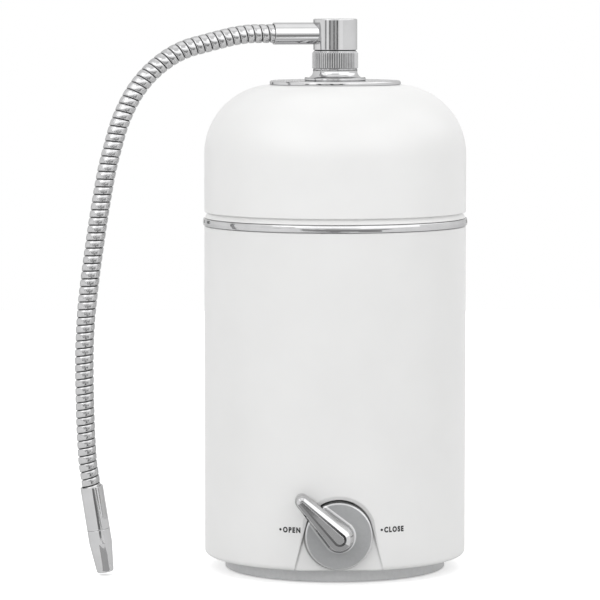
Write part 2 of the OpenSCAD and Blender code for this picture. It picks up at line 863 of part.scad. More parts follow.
module gooseneck_hose() {
  ribs = round(hose_l / rib_pitch);
  crest = hose_d / 2;
  outer = [for (i = [0:2 * ribs]) hose_ring(hose_l * i / (2 * ribs), crest - (i % 2) * rib_depth)];
  bores = ceil(ribs / 2);
  inner = [for (i = [0:bores]) hose_ring(hose_l * i / bores, hose_bore / 2)];
  first = len(outer) * hose_sides;
  color(chrome)
    spout_frame()
      polyhedron(
        points = [for (ring = concat(outer, inner)) each ring],
        faces = concat(
          [for (i = [0:len(outer) - 2]) each tube_side(0, i, false)],
          [for (i = [0:len(inner) - 2]) each tube_side(first, i, true)],
          tube_end(0, first, false),
          tube_end(first - hose_sides, first + bores * hose_sides, true)
        )
      );
}

module nozzle_sleeve() {
  color(chrome)
    nozzle_frame()
      difference() {
        rotate_extrude() turned(ferrule_d / 2, sleeve_l, edge_break / 2);
        translate([0, 0, -over]) cylinder(d = tail_d + 2 * fit_clear, h = sleeve_l + 2 * over);
      }
}

module nozzle_tip() {
  tip_l = nozzle_straight + nozzle_taper;
  cut = edge_break / 2;
  color(chrome)
    nozzle_frame()
      translate([0, 0, sleeve_l])
        difference() {
          union() {
            rotate_extrude()
              polygon([
                [0, 0],
                [ferrule_d / 2 - cut, 0],
                [ferrule_d / 2, cut],
                [ferrule_d / 2, nozzle_straight],
                [nozzle_mouth_d / 2, tip_l - cut],
                [nozzle_mouth_d / 2 - cut, tip_l],
                [0, tip_l]
              ]);
            translate([0, 0, -nozzle_tail]) cylinder(d = tail_d, h = nozzle_tail + over);
          }
          translate([0, 0, -nozzle_tail - over])
            cylinder(d = nozzle_bore, h = nozzle_tail + tip_l + 2 * over);
        }
}

// Outline, along +X, of the groove in the disc
module lever_groove() {
  hub = lever_hub_w / 2 + groove_room;
  rim = hub - (lever_hub_w - lever_tip_w) / 2 * knob_d / 2 / lever_l;
  root = hub - groove_tuck;
  union() {
    circle(hub);
    polygon([[0, -root], [knob_d / 2 + over, -rim], [knob_d / 2 + over, rim], [0, root]]);
  }
}

module knob_disc() {
  color(plinth_grey)
    tap_frame()
      difference() {
        translate([0, 0, knob_gap])
          rotate_extrude()
            polygon([
              [0, 0],
              [knob_d / 2, 0],
              [knob_d / 2, knob_t - knob_bevel],
              [knob_d / 2 - knob_bevel, knob_t],
              [0, knob_t]
            ]);
        rotate([0, 0, lever_angle])
          translate([0, 0, groove_floor])
            linear_extrude(knob_groove + over)
              lever_groove();
        translate([0, 0, knob_t / 2]) square_prism(2 * knob_t);
      }
}

// Square hole for the end of the spindle
module square_prism(h) {
  side = spindle_square + 2 * fit_clear;
  rotate([0, 0, lever_angle]) translate([-side / 2, -side / 2, -h / 2]) cube([side, side, h]);
}

// Lever: a teardrop in plan, with sloping sides and a flat ridge that widens to the hub.
// A layer is a share of the height and a share of the way from full width to ridge width.
module knob_lever() {
  layers = [[0, 0.12], [0.06, 0], [0.28, 0], [0.94, 0.9], [1, 1]];
  color(chrome)
    tap_frame()
      rotate([0, 0, lever_angle])
        difference() {
          union() {
            translate([0, 0, lever_under])
              hull()
                for (layer = layers) {
                  hub = lever_hub_w + (ridge_hub_w - lever_hub_w) * layer[1];
                  tip = lever_tip_w + (ridge_tip_w - lever_tip_w) * layer[1];
                  translate([0, 0, layer[0] * lever_h]) cylinder(d = hub, h = slice, $fn = 32);
                  translate([lever_l, 0, layer[0] * lever_h]) cylinder(d = tip, h = slice, $fn = 32);
                }
            translate([0, 0, groove_floor])
              cylinder(d = lever_post_d, h = lever_under - groove_floor + over);
          }
          rotate([0, 0, -lever_angle])
            translate([0, 0, groove_floor - over + (square_grip + over + fit_clear) / 2])
              square_prism(square_grip + over + fit_clear);
        }
}

module valve_spindle() {
  color("silver")
    tap_frame()
      difference() {
        union() {
          translate([0, 0, -collar_at - spindle_collar_t])
            cylinder(d = spindle_collar_d, h = spindle_collar_t);
          translate([0, 0, -collar_at - over])
            cylinder(d = spindle_d, h = collar_at + over);
          rotate([0, 0, lever_angle])
            translate([-spindle_square / 2, -spindle_square / 2, -over])
              cube([spindle_square, spindle_square, over + groove_floor + square_grip]);
        }
        translate([0, 0, -gland_set - gland_l / 2]) seal_groove(spindle_seal_r, small_seal);
      }
}

module spindle_seal() {
  color(rubber_black)
    tap_frame()
      translate([0, 0, -gland_set - gland_l / 2])
        o_ring(small_seal, spindle_seal_r);
}

// Ceramic disc with its two water ports, which line up while the tap is open
module ceramic_disc(at) {
  tap_frame()
    rotate([0, 0, lever_angle])
      translate([0, 0, -at - ceramic_t])
        difference() {
          cylinder(d = ceramic_d, h = ceramic_t);
          for (side = [-1, 1])
            translate([side * port_offset, 0, -over])
              cylinder(d = port_d, h = ceramic_t + 2 * over);
        }
}

module moving_ceramic_disc() color("white") ceramic_disc(moving_at);

module fixed_ceramic_disc() color("ivory") ceramic_disc(fixed_at);

module valve_gland() {
  color(brass_yellow)
    tap_frame()
      translate([0, 0, -gland_set - gland_l])
        difference() {
          cylinder(d = valve_bore - 2 * fit_clear, h = gland_l);
          translate([0, 0, -over]) cylinder(d = spindle_d + 2 * run_clear, h = gland_l + 2 * over);
        }
}

module valve_body() {
  color(brass_yellow)
    tap_frame()
      difference() {
        union() {
          translate([0, 0, -valve_l]) cylinder(d = barrel_d, h = valve_l - shell_wall);
          translate([0, 0, -shell_wall - over])
            cylinder(d = snout_d, h = shell_wall + over - open_clear);
          translate([0, 0, -shell_wall - valve_flange_t])
            intersection() {
              cylinder(d = valve_screw_span + 3 * valve_screw_d, h = valve_flange_t);
              translate([-body_r, -barrel_d / 2, 0]) cube([body_d, barrel_d, valve_flange_t]);
            }
          translate([0, 0, -valve_l - barb_l]) cylinder(d = barb_d, h = barb_l + over);
          translate([0, 0, -outlet_at])
            rotate([-90, 0, 0])
              cylinder(d = barb_d, h = barrel_d / 2 + barb_l);
        }
        translate([0, 0, -seat_at]) cylinder(d = valve_bore, h = seat_at + over);
        translate([0, 0, -valve_l - barb_l - over])
          cylinder(d = barb_bore, h = valve_l + barb_l);
        translate([0, 0, -seat_at - port_d])
          cylinder(d = 2 * port_offset + port_d, h = port_d + over);
        translate([0, 0, -outlet_at])
          rotate([-90, 0, 0])
            cylinder(d = barb_bore, h = barrel_d / 2 + barb_l + over);
        for (side = [-1, 1])
          translate([side * valve_screw_span / 2, 0, -shell_wall - valve_flange_t - over])
            cylinder(d = valve_screw_d + 2 * fit_clear, h = valve_flange_t + 2 * over);
      }
}

module valve_screws() {
  color("silver")
    tap_frame()
      for (side = [-1, 1])
        translate([side * valve_screw_span / 2, 0, 0]) {
          translate([0, 0, -valve_screw_l]) cylinder(d = valve_screw_d, h = valve_screw_l);
          translate([0, 0, -valve_screw_d / 2])
            cylinder(d1 = valve_screw_d, d2 = 2 * valve_screw_d, h = valve_screw_d / 2);
        }
}

module inlet_fitting() {
  color(inner_white)
    inlet_frame()
      difference() {
        union() {
          rotate_extrude() turned(inlet_flange_d / 2, inlet_flange_t, edge_break);
          translate([0, 0, inlet_flange_t - over])
            rotate_extrude()
              turned(nose_d / 2, nose_l + over, edge_break);
          translate([0, 0, -inlet_barrel_l]) cylinder(d = inlet_barrel_d, h = inlet_barrel_l + over);
          translate([0, 0, -inlet_barrel_l - barb_l]) cylinder(d = barb_d, h = barb_l + over);
        }
        translate([0, 0, collet_floor])
          cylinder(d = collet_d + 2 * run_clear, h = inlet_flange_t + nose_l);
        translate([0, 0, collet_floor - supply_depth])
          cylinder(d = supply_bore, h = supply_depth + over);
        translate([0, 0, collet_floor - small_seal - 2 * seal_seat_clear])
          cylinder(d = supply_bore + 2 * small_seal + 4 * seal_seat_clear,
                   h = small_seal + 2 * seal_seat_clear + over);
        translate([0, 0, -inlet_barrel_l - barb_l - over])
          cylinder(d = barb_bore, h = inlet_barrel_l + barb_l);
      }
}

module inlet_collet() {
  sleeve = collet_l + collet_travel;
  color("gainsboro")
    inlet_frame()
      translate([0, 0, collet_floor + collet_travel + open_clear])
        difference() {
          union() {
            cylinder(d = collet_d, h = sleeve + over);
            translate([0, 0, sleeve + open_clear])
              rotate_extrude()
                turned(nose_d / 2 - edge_break, collet_rim_t, edge_break / 2);
          }
          translate([0, 0, -over])
            cylinder(d = supply_bore + 2 * open_clear, h = sleeve + open_clear + collet_rim_t + 2 * over);
        }
}

module inlet_seal() {
  color(rubber_black)
    inlet_frame()
      translate([0, 0, collet_floor - small_seal / 2 - seal_seat_clear])
        o_ring(small_seal, supply_bore / 2 + small_seal / 2 + seal_seat_clear);
}

module inlet_lock_nut() {
  color(inner_white)
    inlet_frame()
      translate([0, 0, -pad_depth - inlet_nut_h])
        difference() {
          cylinder(d = inlet_nut_af / cos(30), h = inlet_nut_h, $fn = 6);
          translate([0, 0, -over])
            cylinder(d = inlet_barrel_d + 2 * fit_clear, h = inlet_nut_h + 2 * over);
        }
}

// Straight tube that pushes over a barb at each end
module push_tube(l) {
  difference() {
    cylinder(d = tube_d, h = l);
    translate([0, 0, -over]) cylinder(d = barb_d + 2 * fit_clear, h = l + 2 * over);
  }
}

module inlet_tube() {
  color("whitesmoke")
    translate([0, y_pocket + valve_l, z_tap])
      rotate([-90, 0, 0])
        push_tube(barrel_end - y_pocket - valve_l);
}

module feed_tube() {
  foot = z_tap + barrel_d / 2 + open_clear;
  color("whitesmoke")
    translate([0, y_pocket + outlet_at, foot])
      push_tube(z_tray - foot);
}

module cartridge_tray() {
  color(inner_white)
    difference() {
      union() {
        translate([0, 0, z_tray]) cylinder(r = shell_in_r - open_clear, h = tray_t);
        translate([0, 0, z_tray + tray_t])
          difference() {
            cylinder(r = stand_r, h = stand_h);
            translate([0, 0, -over]) cylinder(r = stand_r - stand_w, h = stand_h + 2 * over);
            for (turn = [45, 135])
              rotate([0, 0, turn])
                translate([-body_r, -flow_d, 0])
                  cube([body_d, 2 * flow_d, stand_h + over]);
          }
        translate([0, y_pocket + outlet_at, z_tray - barb_l]) cylinder(d = barb_d, h = barb_l + over);
      }
      translate([0, y_pocket + outlet_at, z_tray - barb_l - over])
        cylinder(d = barb_bore, h = barb_l + tray_t + 2 * over);
    }
}

module cartridge_lower_cap() {
  color("white")
    translate([0, 0, z_cartridge])
      difference() {
        union() {
          rotate_extrude() turned(cartridge_r, cap_rim_h, edge_break);
          cylinder(r = can_in_r - fit_clear, h = cap_rim_h + cap_spigot_l);
        }
        around(flow_n, stand_r - stand_w - flow_d)
          translate([0, 0, -over])
            cylinder(d = flow_d, h = cap_rim_h + cap_spigot_l + 2 * over);
      }
}

module cartridge_can() {
  color("white")
    translate([0, 0, z_can])
      difference() {
        cylinder(r = cartridge_r, h = z_can_top - z_can);
        translate([0, 0, -over]) cylinder(r = can_in_r, h = z_can_top - z_can + 2 * over);
      }
}

module cartridge_upper_cap() {
  outlet_top = z_hub + cap_outlet_l - z_can_top;
  color("white")
    translate([0, 0, z_can_top])
      difference() {
        union() {
          rotate_extrude() turned(cartridge_r, cap_rim_h, edge_break);
          translate([0, 0, -cap_spigot_l]) cylinder(r = can_in_r - fit_clear, h = cap_spigot_l + over);
          cylinder(d = cap_hub_d, h = z_hub - z_can_top);
          cylinder(d = stem_bore - 2 * run_clear, h = outlet_top);
        }
        translate([0, 0, -cap_spigot_l - over])
          cylinder(d = nozzle_bore, h = cap_spigot_l + outlet_top + 2 * over);
        translate([0, 0, outlet_top - 2 * small_seal]) seal_groove(stem_seal_r, small_seal);
      }
}

module cartridge_seal() {
  color(rubber_black)
    translate([0, 0, z_hub + cap_outlet_l - 2 * small_seal])
      o_ring(small_seal, stem_seal_r);
}

// Layer of filter medium that fills the can
module medium(z, h) translate([0, 0, z]) cylinder(r = can_in_r - fit_clear, h = h);

module sediment_pad() color("linen") medium(z_media, pad_t);

module carbon_bed() color("dimgray") medium(z_media + pad_t, carbon_h);

module membrane_bundle() {
  from = z_media + pad_t + carbon_h;
  color("snow") medium(from, z_media_top - screen_t - from);
}

module media_screen() color("lightgray") medium(z_media_top - screen_t, screen_t);

rubber_feet();
base_plinth();
plinth_screws();
body_shell();
trim_band();
cover_seal();
cover();
top_plate();
outlet_pedestal();
stem_gasket();
stem_lock_nut();
union_nut();
swivel_elbow();
swivel_seal();
hose_ferrule();
gooseneck_hose();
nozzle_sleeve();
nozzle_tip();
knob_disc();
knob_lever();
valve_spindle();
spindle_seal();
moving_ceramic_disc();
fixed_ceramic_disc();
valve_gland();
valve_body();
valve_screws();
inlet_fitting();
inlet_collet();
inlet_seal();
inlet_lock_nut();
inlet_tube();
feed_tube();
cartridge_tray();
cartridge_lower_cap();
cartridge_can();
cartridge_upper_cap();
cartridge_seal();
sediment_pad();
carbon_bed();
membrane_bundle();
media_screen();
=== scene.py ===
import json
from math import acos, atan2, cos, hypot, pi, radians, sin

import bmesh
import bpy
import numpy as np
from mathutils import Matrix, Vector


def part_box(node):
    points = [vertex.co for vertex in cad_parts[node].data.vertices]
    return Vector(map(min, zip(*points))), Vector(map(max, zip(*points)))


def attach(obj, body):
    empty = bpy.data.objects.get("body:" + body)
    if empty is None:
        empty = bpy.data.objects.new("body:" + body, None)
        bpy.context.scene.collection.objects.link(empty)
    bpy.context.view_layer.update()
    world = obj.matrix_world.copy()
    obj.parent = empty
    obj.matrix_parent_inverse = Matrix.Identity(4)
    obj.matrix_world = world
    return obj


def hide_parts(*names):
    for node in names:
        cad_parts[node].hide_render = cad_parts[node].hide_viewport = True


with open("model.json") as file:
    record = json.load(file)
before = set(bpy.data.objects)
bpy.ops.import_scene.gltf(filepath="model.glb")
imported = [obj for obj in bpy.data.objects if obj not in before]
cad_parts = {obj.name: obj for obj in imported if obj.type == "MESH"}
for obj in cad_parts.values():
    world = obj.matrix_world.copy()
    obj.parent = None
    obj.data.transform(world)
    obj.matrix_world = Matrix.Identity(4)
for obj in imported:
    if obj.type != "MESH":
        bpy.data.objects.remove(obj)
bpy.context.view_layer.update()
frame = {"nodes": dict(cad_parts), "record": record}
scene = bpy.context.scene
scene.view_settings.view_transform = "Standard"

# Camera: a long lens two metres in front of the unit, a little to its left and
# above its middle, looking slightly down, with the unit to the right of the middle.
camera_distance = 1.978
camera_height = 0.309
camera_azimuth = radians(-1.8)
camera_turn = radians(0.5435)
camera_dip = radians(4.77)


def added(name, data):
    """New object in the scene."""
    thing = bpy.data.objects.new(name, data)
    scene.collection.objects.link(thing)
    return thing


lens = bpy.data.cameras.new("photo_view")
lens.sensor_width = 36
lens.lens = 222
camera = added("photo_view", lens)
camera.location = (
    camera_distance * sin(camera_azimuth),
    -camera_distance * cos(camera_azimuth),
    camera_height,
)
camera.rotation_euler = (pi / 2 - camera_dip, 0, camera_azimuth + camera_turn)
scene.camera = camera

# Gooseneck: a plated steel strip wound into one long helix of rounded bands. Each turn
# hooks into the next, so the tube bends by hand and stays bent. Its two ends are held
# in the ferrule on the elbow and in the sleeve of the nozzle.
ferrule_low, ferrule_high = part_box("hose_ferrule")
spout_z = (ferrule_low[2] + ferrule_high[2]) / 2
spout_turn = radians(193)
spout_axis = np.array([cos(spout_turn), sin(spout_turn), 0])
spout_side = np.array([-sin(spout_turn), cos(spout_turn), 0])
upward = np.array([0, 0, 1])
elbow_r = 0.01175
ferrule_l = 0.0222
mouth_reach = elbow_r + ferrule_l
nozzle_tilt = radians(9)
nozzle_fall = np.array([-sin(nozzle_tilt), cos(nozzle_tilt)])
hose_d = 0.0100
hose_bore_r = 0.003
hose_lead = 0.010
hose_sides = 48
band_pitch = 0.00408
band_crown = 0.00022
seam_depth = 0.0009
seam_sharp = 11
seam_tone = 9
drift_low, drift_high = 0.3, 0.7
metal_edge = 0.72
# Reach from the ferrule's mouth and drop below the spout's axis
hose_route = np.array([
    (0.0100, 0.0000), (0.0200, 0.0010), (0.0290, 0.0030), (0.0380, 0.0053), (0.0465, 0.0076),
    (0.0550, 0.0115), (0.0635, 0.0175), (0.0710, 0.0250), (0.0776, 0.0345), (0.0834, 0.0470),
    (0.0873, 0.0600), (0.0905, 0.0725), (0.0940, 0.0915), (0.0970, 0.1105), (0.0997, 0.1295),
    (0.1018, 0.1485), (0.1028, 0.1675), (0.1028, 0.1865), (0.1024, 0.2050), (0.1018, 0.2180),
    (0.1009, 0.2290),
])


def smooth_line(points, first_way, last_way, steps=10):
    """Hermite cubics through the points. A point's slope is half the step between its two
    neighbours; the first and the last point leave along the given directions."""
    slope = np.empty_like(points)
    slope[1:-1] = (points[2:] - points[:-2]) / 2
    slope[0] = np.linalg.norm(points[1] - points[0]) * first_way
    slope[-1] = np.linalg.norm(points[-1] - points[-2]) * last_way
    t = np.linspace(0, 1, steps, endpoint=False)[None, :, None]
    ease = 3 * t**2 - 2 * t**3
    cubic = (1 - ease) * points[:-1, None] + ease * points[1:, None]
    cubic += (t**3 - 2 * t**2 + t) * slope[:-1, None] + (t**3 - t**2) * slope[1:, None]
    return np.concatenate([cubic.reshape(-1, 2), points[-1:]])


def on_spout(reach, drop):
    """Points in the upright plane of the spout, from their reach and drop."""
    return (mouth_reach + reach)[..., None] * spout_axis + (spout_z - drop)[..., None] * upward


def weld(mesh):
    """Joins points that coincide, closes open ends and turns all faces outwards."""
    skin = bmesh.new()
    skin.from_mesh(mesh)
    bmesh.ops.remove_doubles(skin, verts=skin.verts, dist=1e-6)
    bmesh.ops.holes_fill(skin, edges=[edge for edge in skin.edges if edge.is_boundary])
    bmesh.ops.recalc_face_normals(skin, faces=skin.faces)
    skin.to_mesh(mesh)
    skin.free()


def place(piece, body, slot, finish, *nodes):
    """Gives a piece its finish, the body it moves with and the solids it stands for."""
    piece.data.materials.append(finish)
    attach(piece, body)
    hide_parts(*nodes)
    return piece


def build(name, points, body, slot, finish, *nodes, joined=True, **marks):
    """Piece over a grid of points, one face to each cell, in its place. The last row meets
    the first unless that is a single point, and the last column meets the first if joined.
    Marks are values kept at each point, or alike along a row."""
    rows, columns = points.shape[:2]
    closed = np.ptp(points[0], axis=0).max() > 1e-6
    row = np.arange(rows if closed else rows - 1)[:, None]
    column = np.arange(columns if joined else columns - 1)[None, :]
    row_next = (row + 1) % rows
    column_next = (column + 1) % columns
    ring = [(row, column), (row, column_next), (row_next, column_next), (row_next, column)]
    faces = np.stack([i * columns + j for i, j in ring], axis=-1).reshape(-1, 4)
    mesh = bpy.data.meshes.new(name)
    mesh.from_pydata(points.reshape(-1, 3).tolist(), [], faces.tolist(), shade_flat=False)
    for mark, values in marks.items():
        level = np.broadcast_to(values, (rows, columns)).astype(float).ravel()
        mesh.attributes.new(mark, "FLOAT", "POINT").data.foreach_set("value", level)
    weld(mesh)
    return place(added(name, mesh), body, slot, finish, *nodes)


def set_inputs(node, **inputs):
    """Sets inputs of a shader node, each named with _ in place of a space. A value that is
    another node's output is linked."""
    for name, value in inputs.items():
        socket = node.inputs[name.replace("_", " ")]
        if isinstance(value, bpy.types.NodeSocket):
            node.id_data.links.new(value, socket)
        else:
            socket.default_value = value
    return node


def add_node(tree, kind, **inputs):
    """New shader node with its inputs set."""
    return set_inputs(tree.nodes.new("ShaderNode" + kind), **inputs)


def grained(name, pale, dark, rough, scale, relief, metal=0.0, stretch=(1, 1, 1)):
    """Finish that drifts between two shades and two roughnesses with a noise of the given
    scale, and rises by relief with one six times finer; stretch draws both out. A metal
    is toned down where it is seen at a grazing angle."""
    finish = bpy.data.materials.new(name)
    finish.use_nodes = True
    tree = finish.node_tree
    spot = add_node(tree, "TexCoord").outputs["Object"]
    spot = add_node(tree, "Mapping", Vector=spot, Scale=stretch).outputs["Vector"]
    drift = add_node(tree, "TexNoise", Vector=spot, Scale=scale, Detail=4).outputs["Fac"]
    grain = add_node(tree, "TexNoise", Vector=spot, Scale=6 * scale, Detail=2).outputs["Fac"]
    shade = add_node(tree, "ValToRGB", Fac=drift)
    shade.name = "shade"
    low, high = shade.color_ramp.elements
    low.position, low.color = drift_low, (*dark, 1)
    high.position, high.color = drift_high, (*pale, 1)
    gloss = add_node(
        tree, "MapRange", Value=drift,
        From_Min=drift_low, From_Max=drift_high, To_Min=rough[0], To_Max=rough[1],
    )
    swell = add_node(tree, "Bump", Height=grain, Distance=relief)
    shader = set_inputs(
        tree.nodes["Principled BSDF"],
        Base_Color=shade.outputs["Color"],
        Roughness=gloss.outputs["Result"],
        Normal=swell.outputs["Normal"],
        Metallic=metal,
    )
    if metal:
        set_inputs(shader, Specular_Tint=(metal_edge, metal_edge, metal_edge, 1))
    return finish


def marked(finish, mark):
    """Output that gives the value of a piece's mark to its finish."""
    value = add_node(finish.node_tree, "Attribute")
    value.attribute_name = mark
    return value.outputs["Fac"]


def tinted(finish, mark, tint):
    """Carries a finish's shade towards a tint where the piece's mark goes to 1."""
    tree = finish.node_tree
    shade = tree.nodes["shade"].outputs["Color"]
    blend = add_node(tree, "MixRGB", Fac=marked(finish, mark), Color1=shade, Color2=(*tint, 1))
    set_inputs(tree.nodes["Principled BSDF"], Base_Color=blend.outputs["Color"])


hose_bend = smooth_line(hose_route, np.array([1, 0]), nozzle_fall)
hose_end = hose_route[-1] + hose_lead * nozzle_fall
hose_line = np.concatenate([[(0, 0)], hose_bend, [hose_end]])
hose_path = on_spout(hose_line[:, 0], hose_line[:, 1])
hose_l = np.linalg.norm(np.diff(hose_line, axis=0), axis=1).sum()
hose_turns = round(hose_l / band_pitch)
hose_pitch = hose_l / hose_turns

# The wound tube runs on for a turn inside the ferrule and the sleeve
hose_tuck = 1.2 * hose_pitch
tucked_line = np.concatenate([[(-hose_tuck, 0)], hose_bend, [hose_end + hose_tuck * nozzle_fall]])
tucked_way = np.concatenate([[0], np.cumsum(np.linalg.norm(np.diff(tucked_line, axis=0), axis=1))])
tucked_way -= hose_tuck

# Each row is one line along the strip, so it climbs a pitch in every turn
across_band = np.array([0, 0.03, 0.06, 0.10, 0.17, 0.28, 0.42, 0.58, 0.72, 0.83, 0.90, 0.94, 0.97])
strip = np.append((np.arange(hose_turns + 1)[:, None] + across_band).ravel(), hose_turns + 1)
from_crest = np.abs(2 * (strip % 1) - 1)
strip_r = hose_d / 2 - band_crown * from_crest**2 - seam_depth * from_crest**seam_sharp
bore_strip = np.arange(hose_turns + 1, -1, -1)
strip_row = np.concatenate([strip, bore_strip])[:, None]
radius_row = np.concatenate([strip_r, np.full(len(bore_strip), hose_bore_r)])[:, None, None]
# Painted shade in the seams between the bands, darkest at their middle, and over the whole bore
seam_row = np.concatenate([from_crest**seam_tone, np.ones(len(bore_strip))])[:, None]
hose_round = np.linspace(0, 2 * pi, hose_sides + 1)
hose_s = hose_pitch * (strip_row - hose_round / (2 * pi))
hose_middle = on_spout(*[np.interp(hose_s, tucked_way, way) for way in tucked_line.T])
hose_slope = np.gradient(tucked_line, tucked_way, axis=0)
run, fall = [np.interp(hose_s, tucked_way, way)[..., None] for way in hose_slope.T]
hose_out = (fall * spout_axis + run * upward) / np.hypot(run, fall)
hose_grid = hose_middle + radius_row * (
    np.cos(hose_round)[:, None] * hose_out + np.sin(hose_round)[:, None] * spout_side
)
wound_pale = (0.60, 0.60, 0.605)
wound_dark = (0.52, 0.52, 0.525)
wound_finish = grained(
    "wound_strip_plating", wound_pale, wound_dark, (0.10, 0.20), 260, 3e-6, metal=1.0
)
# Painted shade carries the plating towards black in the seams
tinted(wound_finish, "seam", (0.03, 0.03, 0.032))
gooseneck = build(
    "gooseneck", hose_grid, "spout", "wound_steel", wound_finish, "gooseneck_hose",
    joined=False, seam=seam_row,
)

# Nozzle: a plated brass sleeve crimped over the end of the gooseneck, and a turned tip
# that narrows to the mouth. A fine groove shows where the tip is pushed into the sleeve.
ferrule_r = (ferrule_high[2] - ferrule_low[2]) / 2
nozzle_r = ferrule_r + 0.0002
sleeve_l = 0.0232
tip_straight = 0.0075
tip_taper = 0.0157
tip_mouth_r = 0.0044
tip_bore_r = 0.0025
tip_sink = 0.006
edge_soft = 0.0003
hose_hold_r = hose_d / 2 + edge_soft / 2
chrome_pale = (0.62, 0.62, 0.625)
chrome_dark = (0.57, 0.57, 0.575)
nozzle_axis = nozzle_fall[0] * spout_axis - nozzle_fall[1] * upward
nozzle_top = hose_path[-1]


def rounded(corners, soft=0.0, steps=6):
    """Outline through corners of (radius, height, rounding); a corner given without rounding
    takes soft. Each is an arc tangent to its two sides. A point past each end, by 0.3 of the
    rounding, keeps the sides flat."""
    corners = np.array([(*corner, soft)[:3] for corner in corners], float)
    point, rounding = corners[:, None, :2], corners[:, None, 2:]
    back = np.roll(point, 1, axis=0) - point
    ahead = np.roll(point, -1, axis=0) - point
    back /= np.linalg.norm(back, axis=2, keepdims=True)
    ahead /= np.linalg.norm(ahead, axis=2, keepdims=True)
    half = np.arccos(np.clip((back * ahead).sum(axis=2, keepdims=True), -1, 1)) / 2
    middle = (back + ahead) / np.linalg.norm(back + ahead, axis=2, keepdims=True)
    centre = point + middle * rounding / np.sin(half)
    start = point + back * rounding / np.tan(half)
    end = point + ahead * rounding / np.tan(half)
    sweep = pi - 2 * half
    t = np.linspace(0, 1, steps + 1)[None, :, None]
    arc = np.sin((1 - t) * sweep) * (start - centre) + np.sin(t * sweep) * (end - centre)
    arc = centre + arc / np.sin(sweep)
    spare = 0.3 * rounding
    return np.concatenate([start + spare * back, arc, end + spare * ahead], axis=1).reshape(-1, 2)


def turned(outline, columns=128):
    """Every (radius, height) of the outline carried once round the axis."""
    angle = np.linspace(0, 2 * pi, columns, endpoint=False)
    radius, height = np.array(outline).T[:, :, None]
    points = np.broadcast_arrays(radius * np.cos(angle), radius * np.sin(angle), height)
    return np.stack(points, axis=-1)


def laid_along(points, origin, axis, side):
    """Turned points moved from the Z axis to another axis, with their X along side."""
    return origin + points @ np.stack([side, np.cross(axis, side), axis])


def chromed(name, rough=(0.04, 0.09), scale=90, relief=4e-6):
    """Bright chrome, polished unless said otherwise."""
    return grained(name, chrome_pale, chrome_dark, rough, scale, relief, metal=1.0)


plated_finish = chromed("polished_plating")
sleeve_outline = rounded([
    (hose_hold_r, 0, edge_soft / 3),
    (nozzle_r, 0),
    (nozzle_r, sleeve_l),
    (tip_bore_r, sleeve_l),
    (tip_bore_r, tip_sink),
    (hose_hold_r, tip_sink),
], edge_soft)
nozzle_sleeve = build(
    "nozzle_sleeve_turned",
    laid_along(turned(sleeve_outline), nozzle_top, nozzle_axis, spout_side),
    "spout", "chrome", plated_finish, "nozzle_sleeve",
)
tip_l = tip_straight + tip_taper
tip_outline = rounded([
    (tip_bore_r, 0),
    (nozzle_r, 0),
    (nozzle_r, tip_straight, 4 * edge_soft),
    (tip_mouth_r, tip_l, 2 * edge_soft),
    (tip_bore_r, tip_l),
], edge_soft)
nozzle_tip = build(
    "nozzle_tip_turned",
    laid_along(turned(tip_outline), nozzle_top + sleeve_l * nozzle_axis, nozzle_axis, spout_side),
    "spout", "chrome", plated_finish, "nozzle_tip",
)

# Rubber feet: four moulded pads pressed into the underside of the plinth, which keep the
# unit from sliding. Only their rounded rims stand out below it.
foot_low, foot_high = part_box("rubber_feet")
foot_r = 0.007
foot_circle_r = foot_high[0] - foot_r
foot_count = 4
foot_soft = 0.0004
rubber_finish = grained(
    "moulded_rubber", (0.045, 0.045, 0.046), (0.03, 0.03, 0.031), (0.55, 0.75), 900, 1e-5
)
foot_outline = rounded([
    (0, foot_low[2], 0),
    (foot_r, foot_low[2]),
    (foot_r, foot_high[2]),
    (0, foot_high[2], 0),
], foot_soft)


def set_round(name, points, circle_r, first_way, slot, finish, node):
    """Equal pieces under the plinth, at even steps round a circle from the first way. The
    first of them stands for the solids of all."""
    for number in range(foot_count):
        way = first_way + 2 * pi * number / foot_count
        middle = np.array([circle_r * cos(way), circle_r * sin(way), 0])
        stands_for = [node] if number == 0 else []
        build(f"{name}_{number}", points + middle, "base_unit", slot, finish, *stands_for)


set_round(
    "rubber_foot", turned(foot_outline, 48), foot_circle_r, 0,
    "black_rubber", rubber_finish, "rubber_feet",
)

# Plinth: a moulded ring with a closed floor, in satin silver paint. It stands in from the
# body, with a narrow dark gap between the two.
plinth_low, plinth_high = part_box("base_plinth")
plinth_r = plinth_high[0]
plinth_gap_h = 0.0008
plinth_gap_in = 0.0015
plinth_soft = 0.0006
silver_pale = (0.72, 0.725, 0.73)
silver_dark = (0.67, 0.675, 0.68)
silver_finish = grained("satin_silver_paint", silver_pale, silver_dark, (0.38, 0.5), 500, 4e-6)
gap_z = plinth_high[2] - plinth_gap_h
gap_r = plinth_r - plinth_gap_in
plinth_outline = rounded([
    (0, plinth_low[2], 0),
    (plinth_r, plinth_low[2]),
    (plinth_r, gap_z),
    (gap_r, gap_z, plinth_soft / 3),
    (gap_r, plinth_high[2], plinth_soft / 3),
    (0, plinth_high[2], 0),
], plinth_soft)
build(
    "plinth_moulding", turned(plinth_outline, 192),
    "base_unit", "grey_plastic", silver_finish, "base_plinth",
)

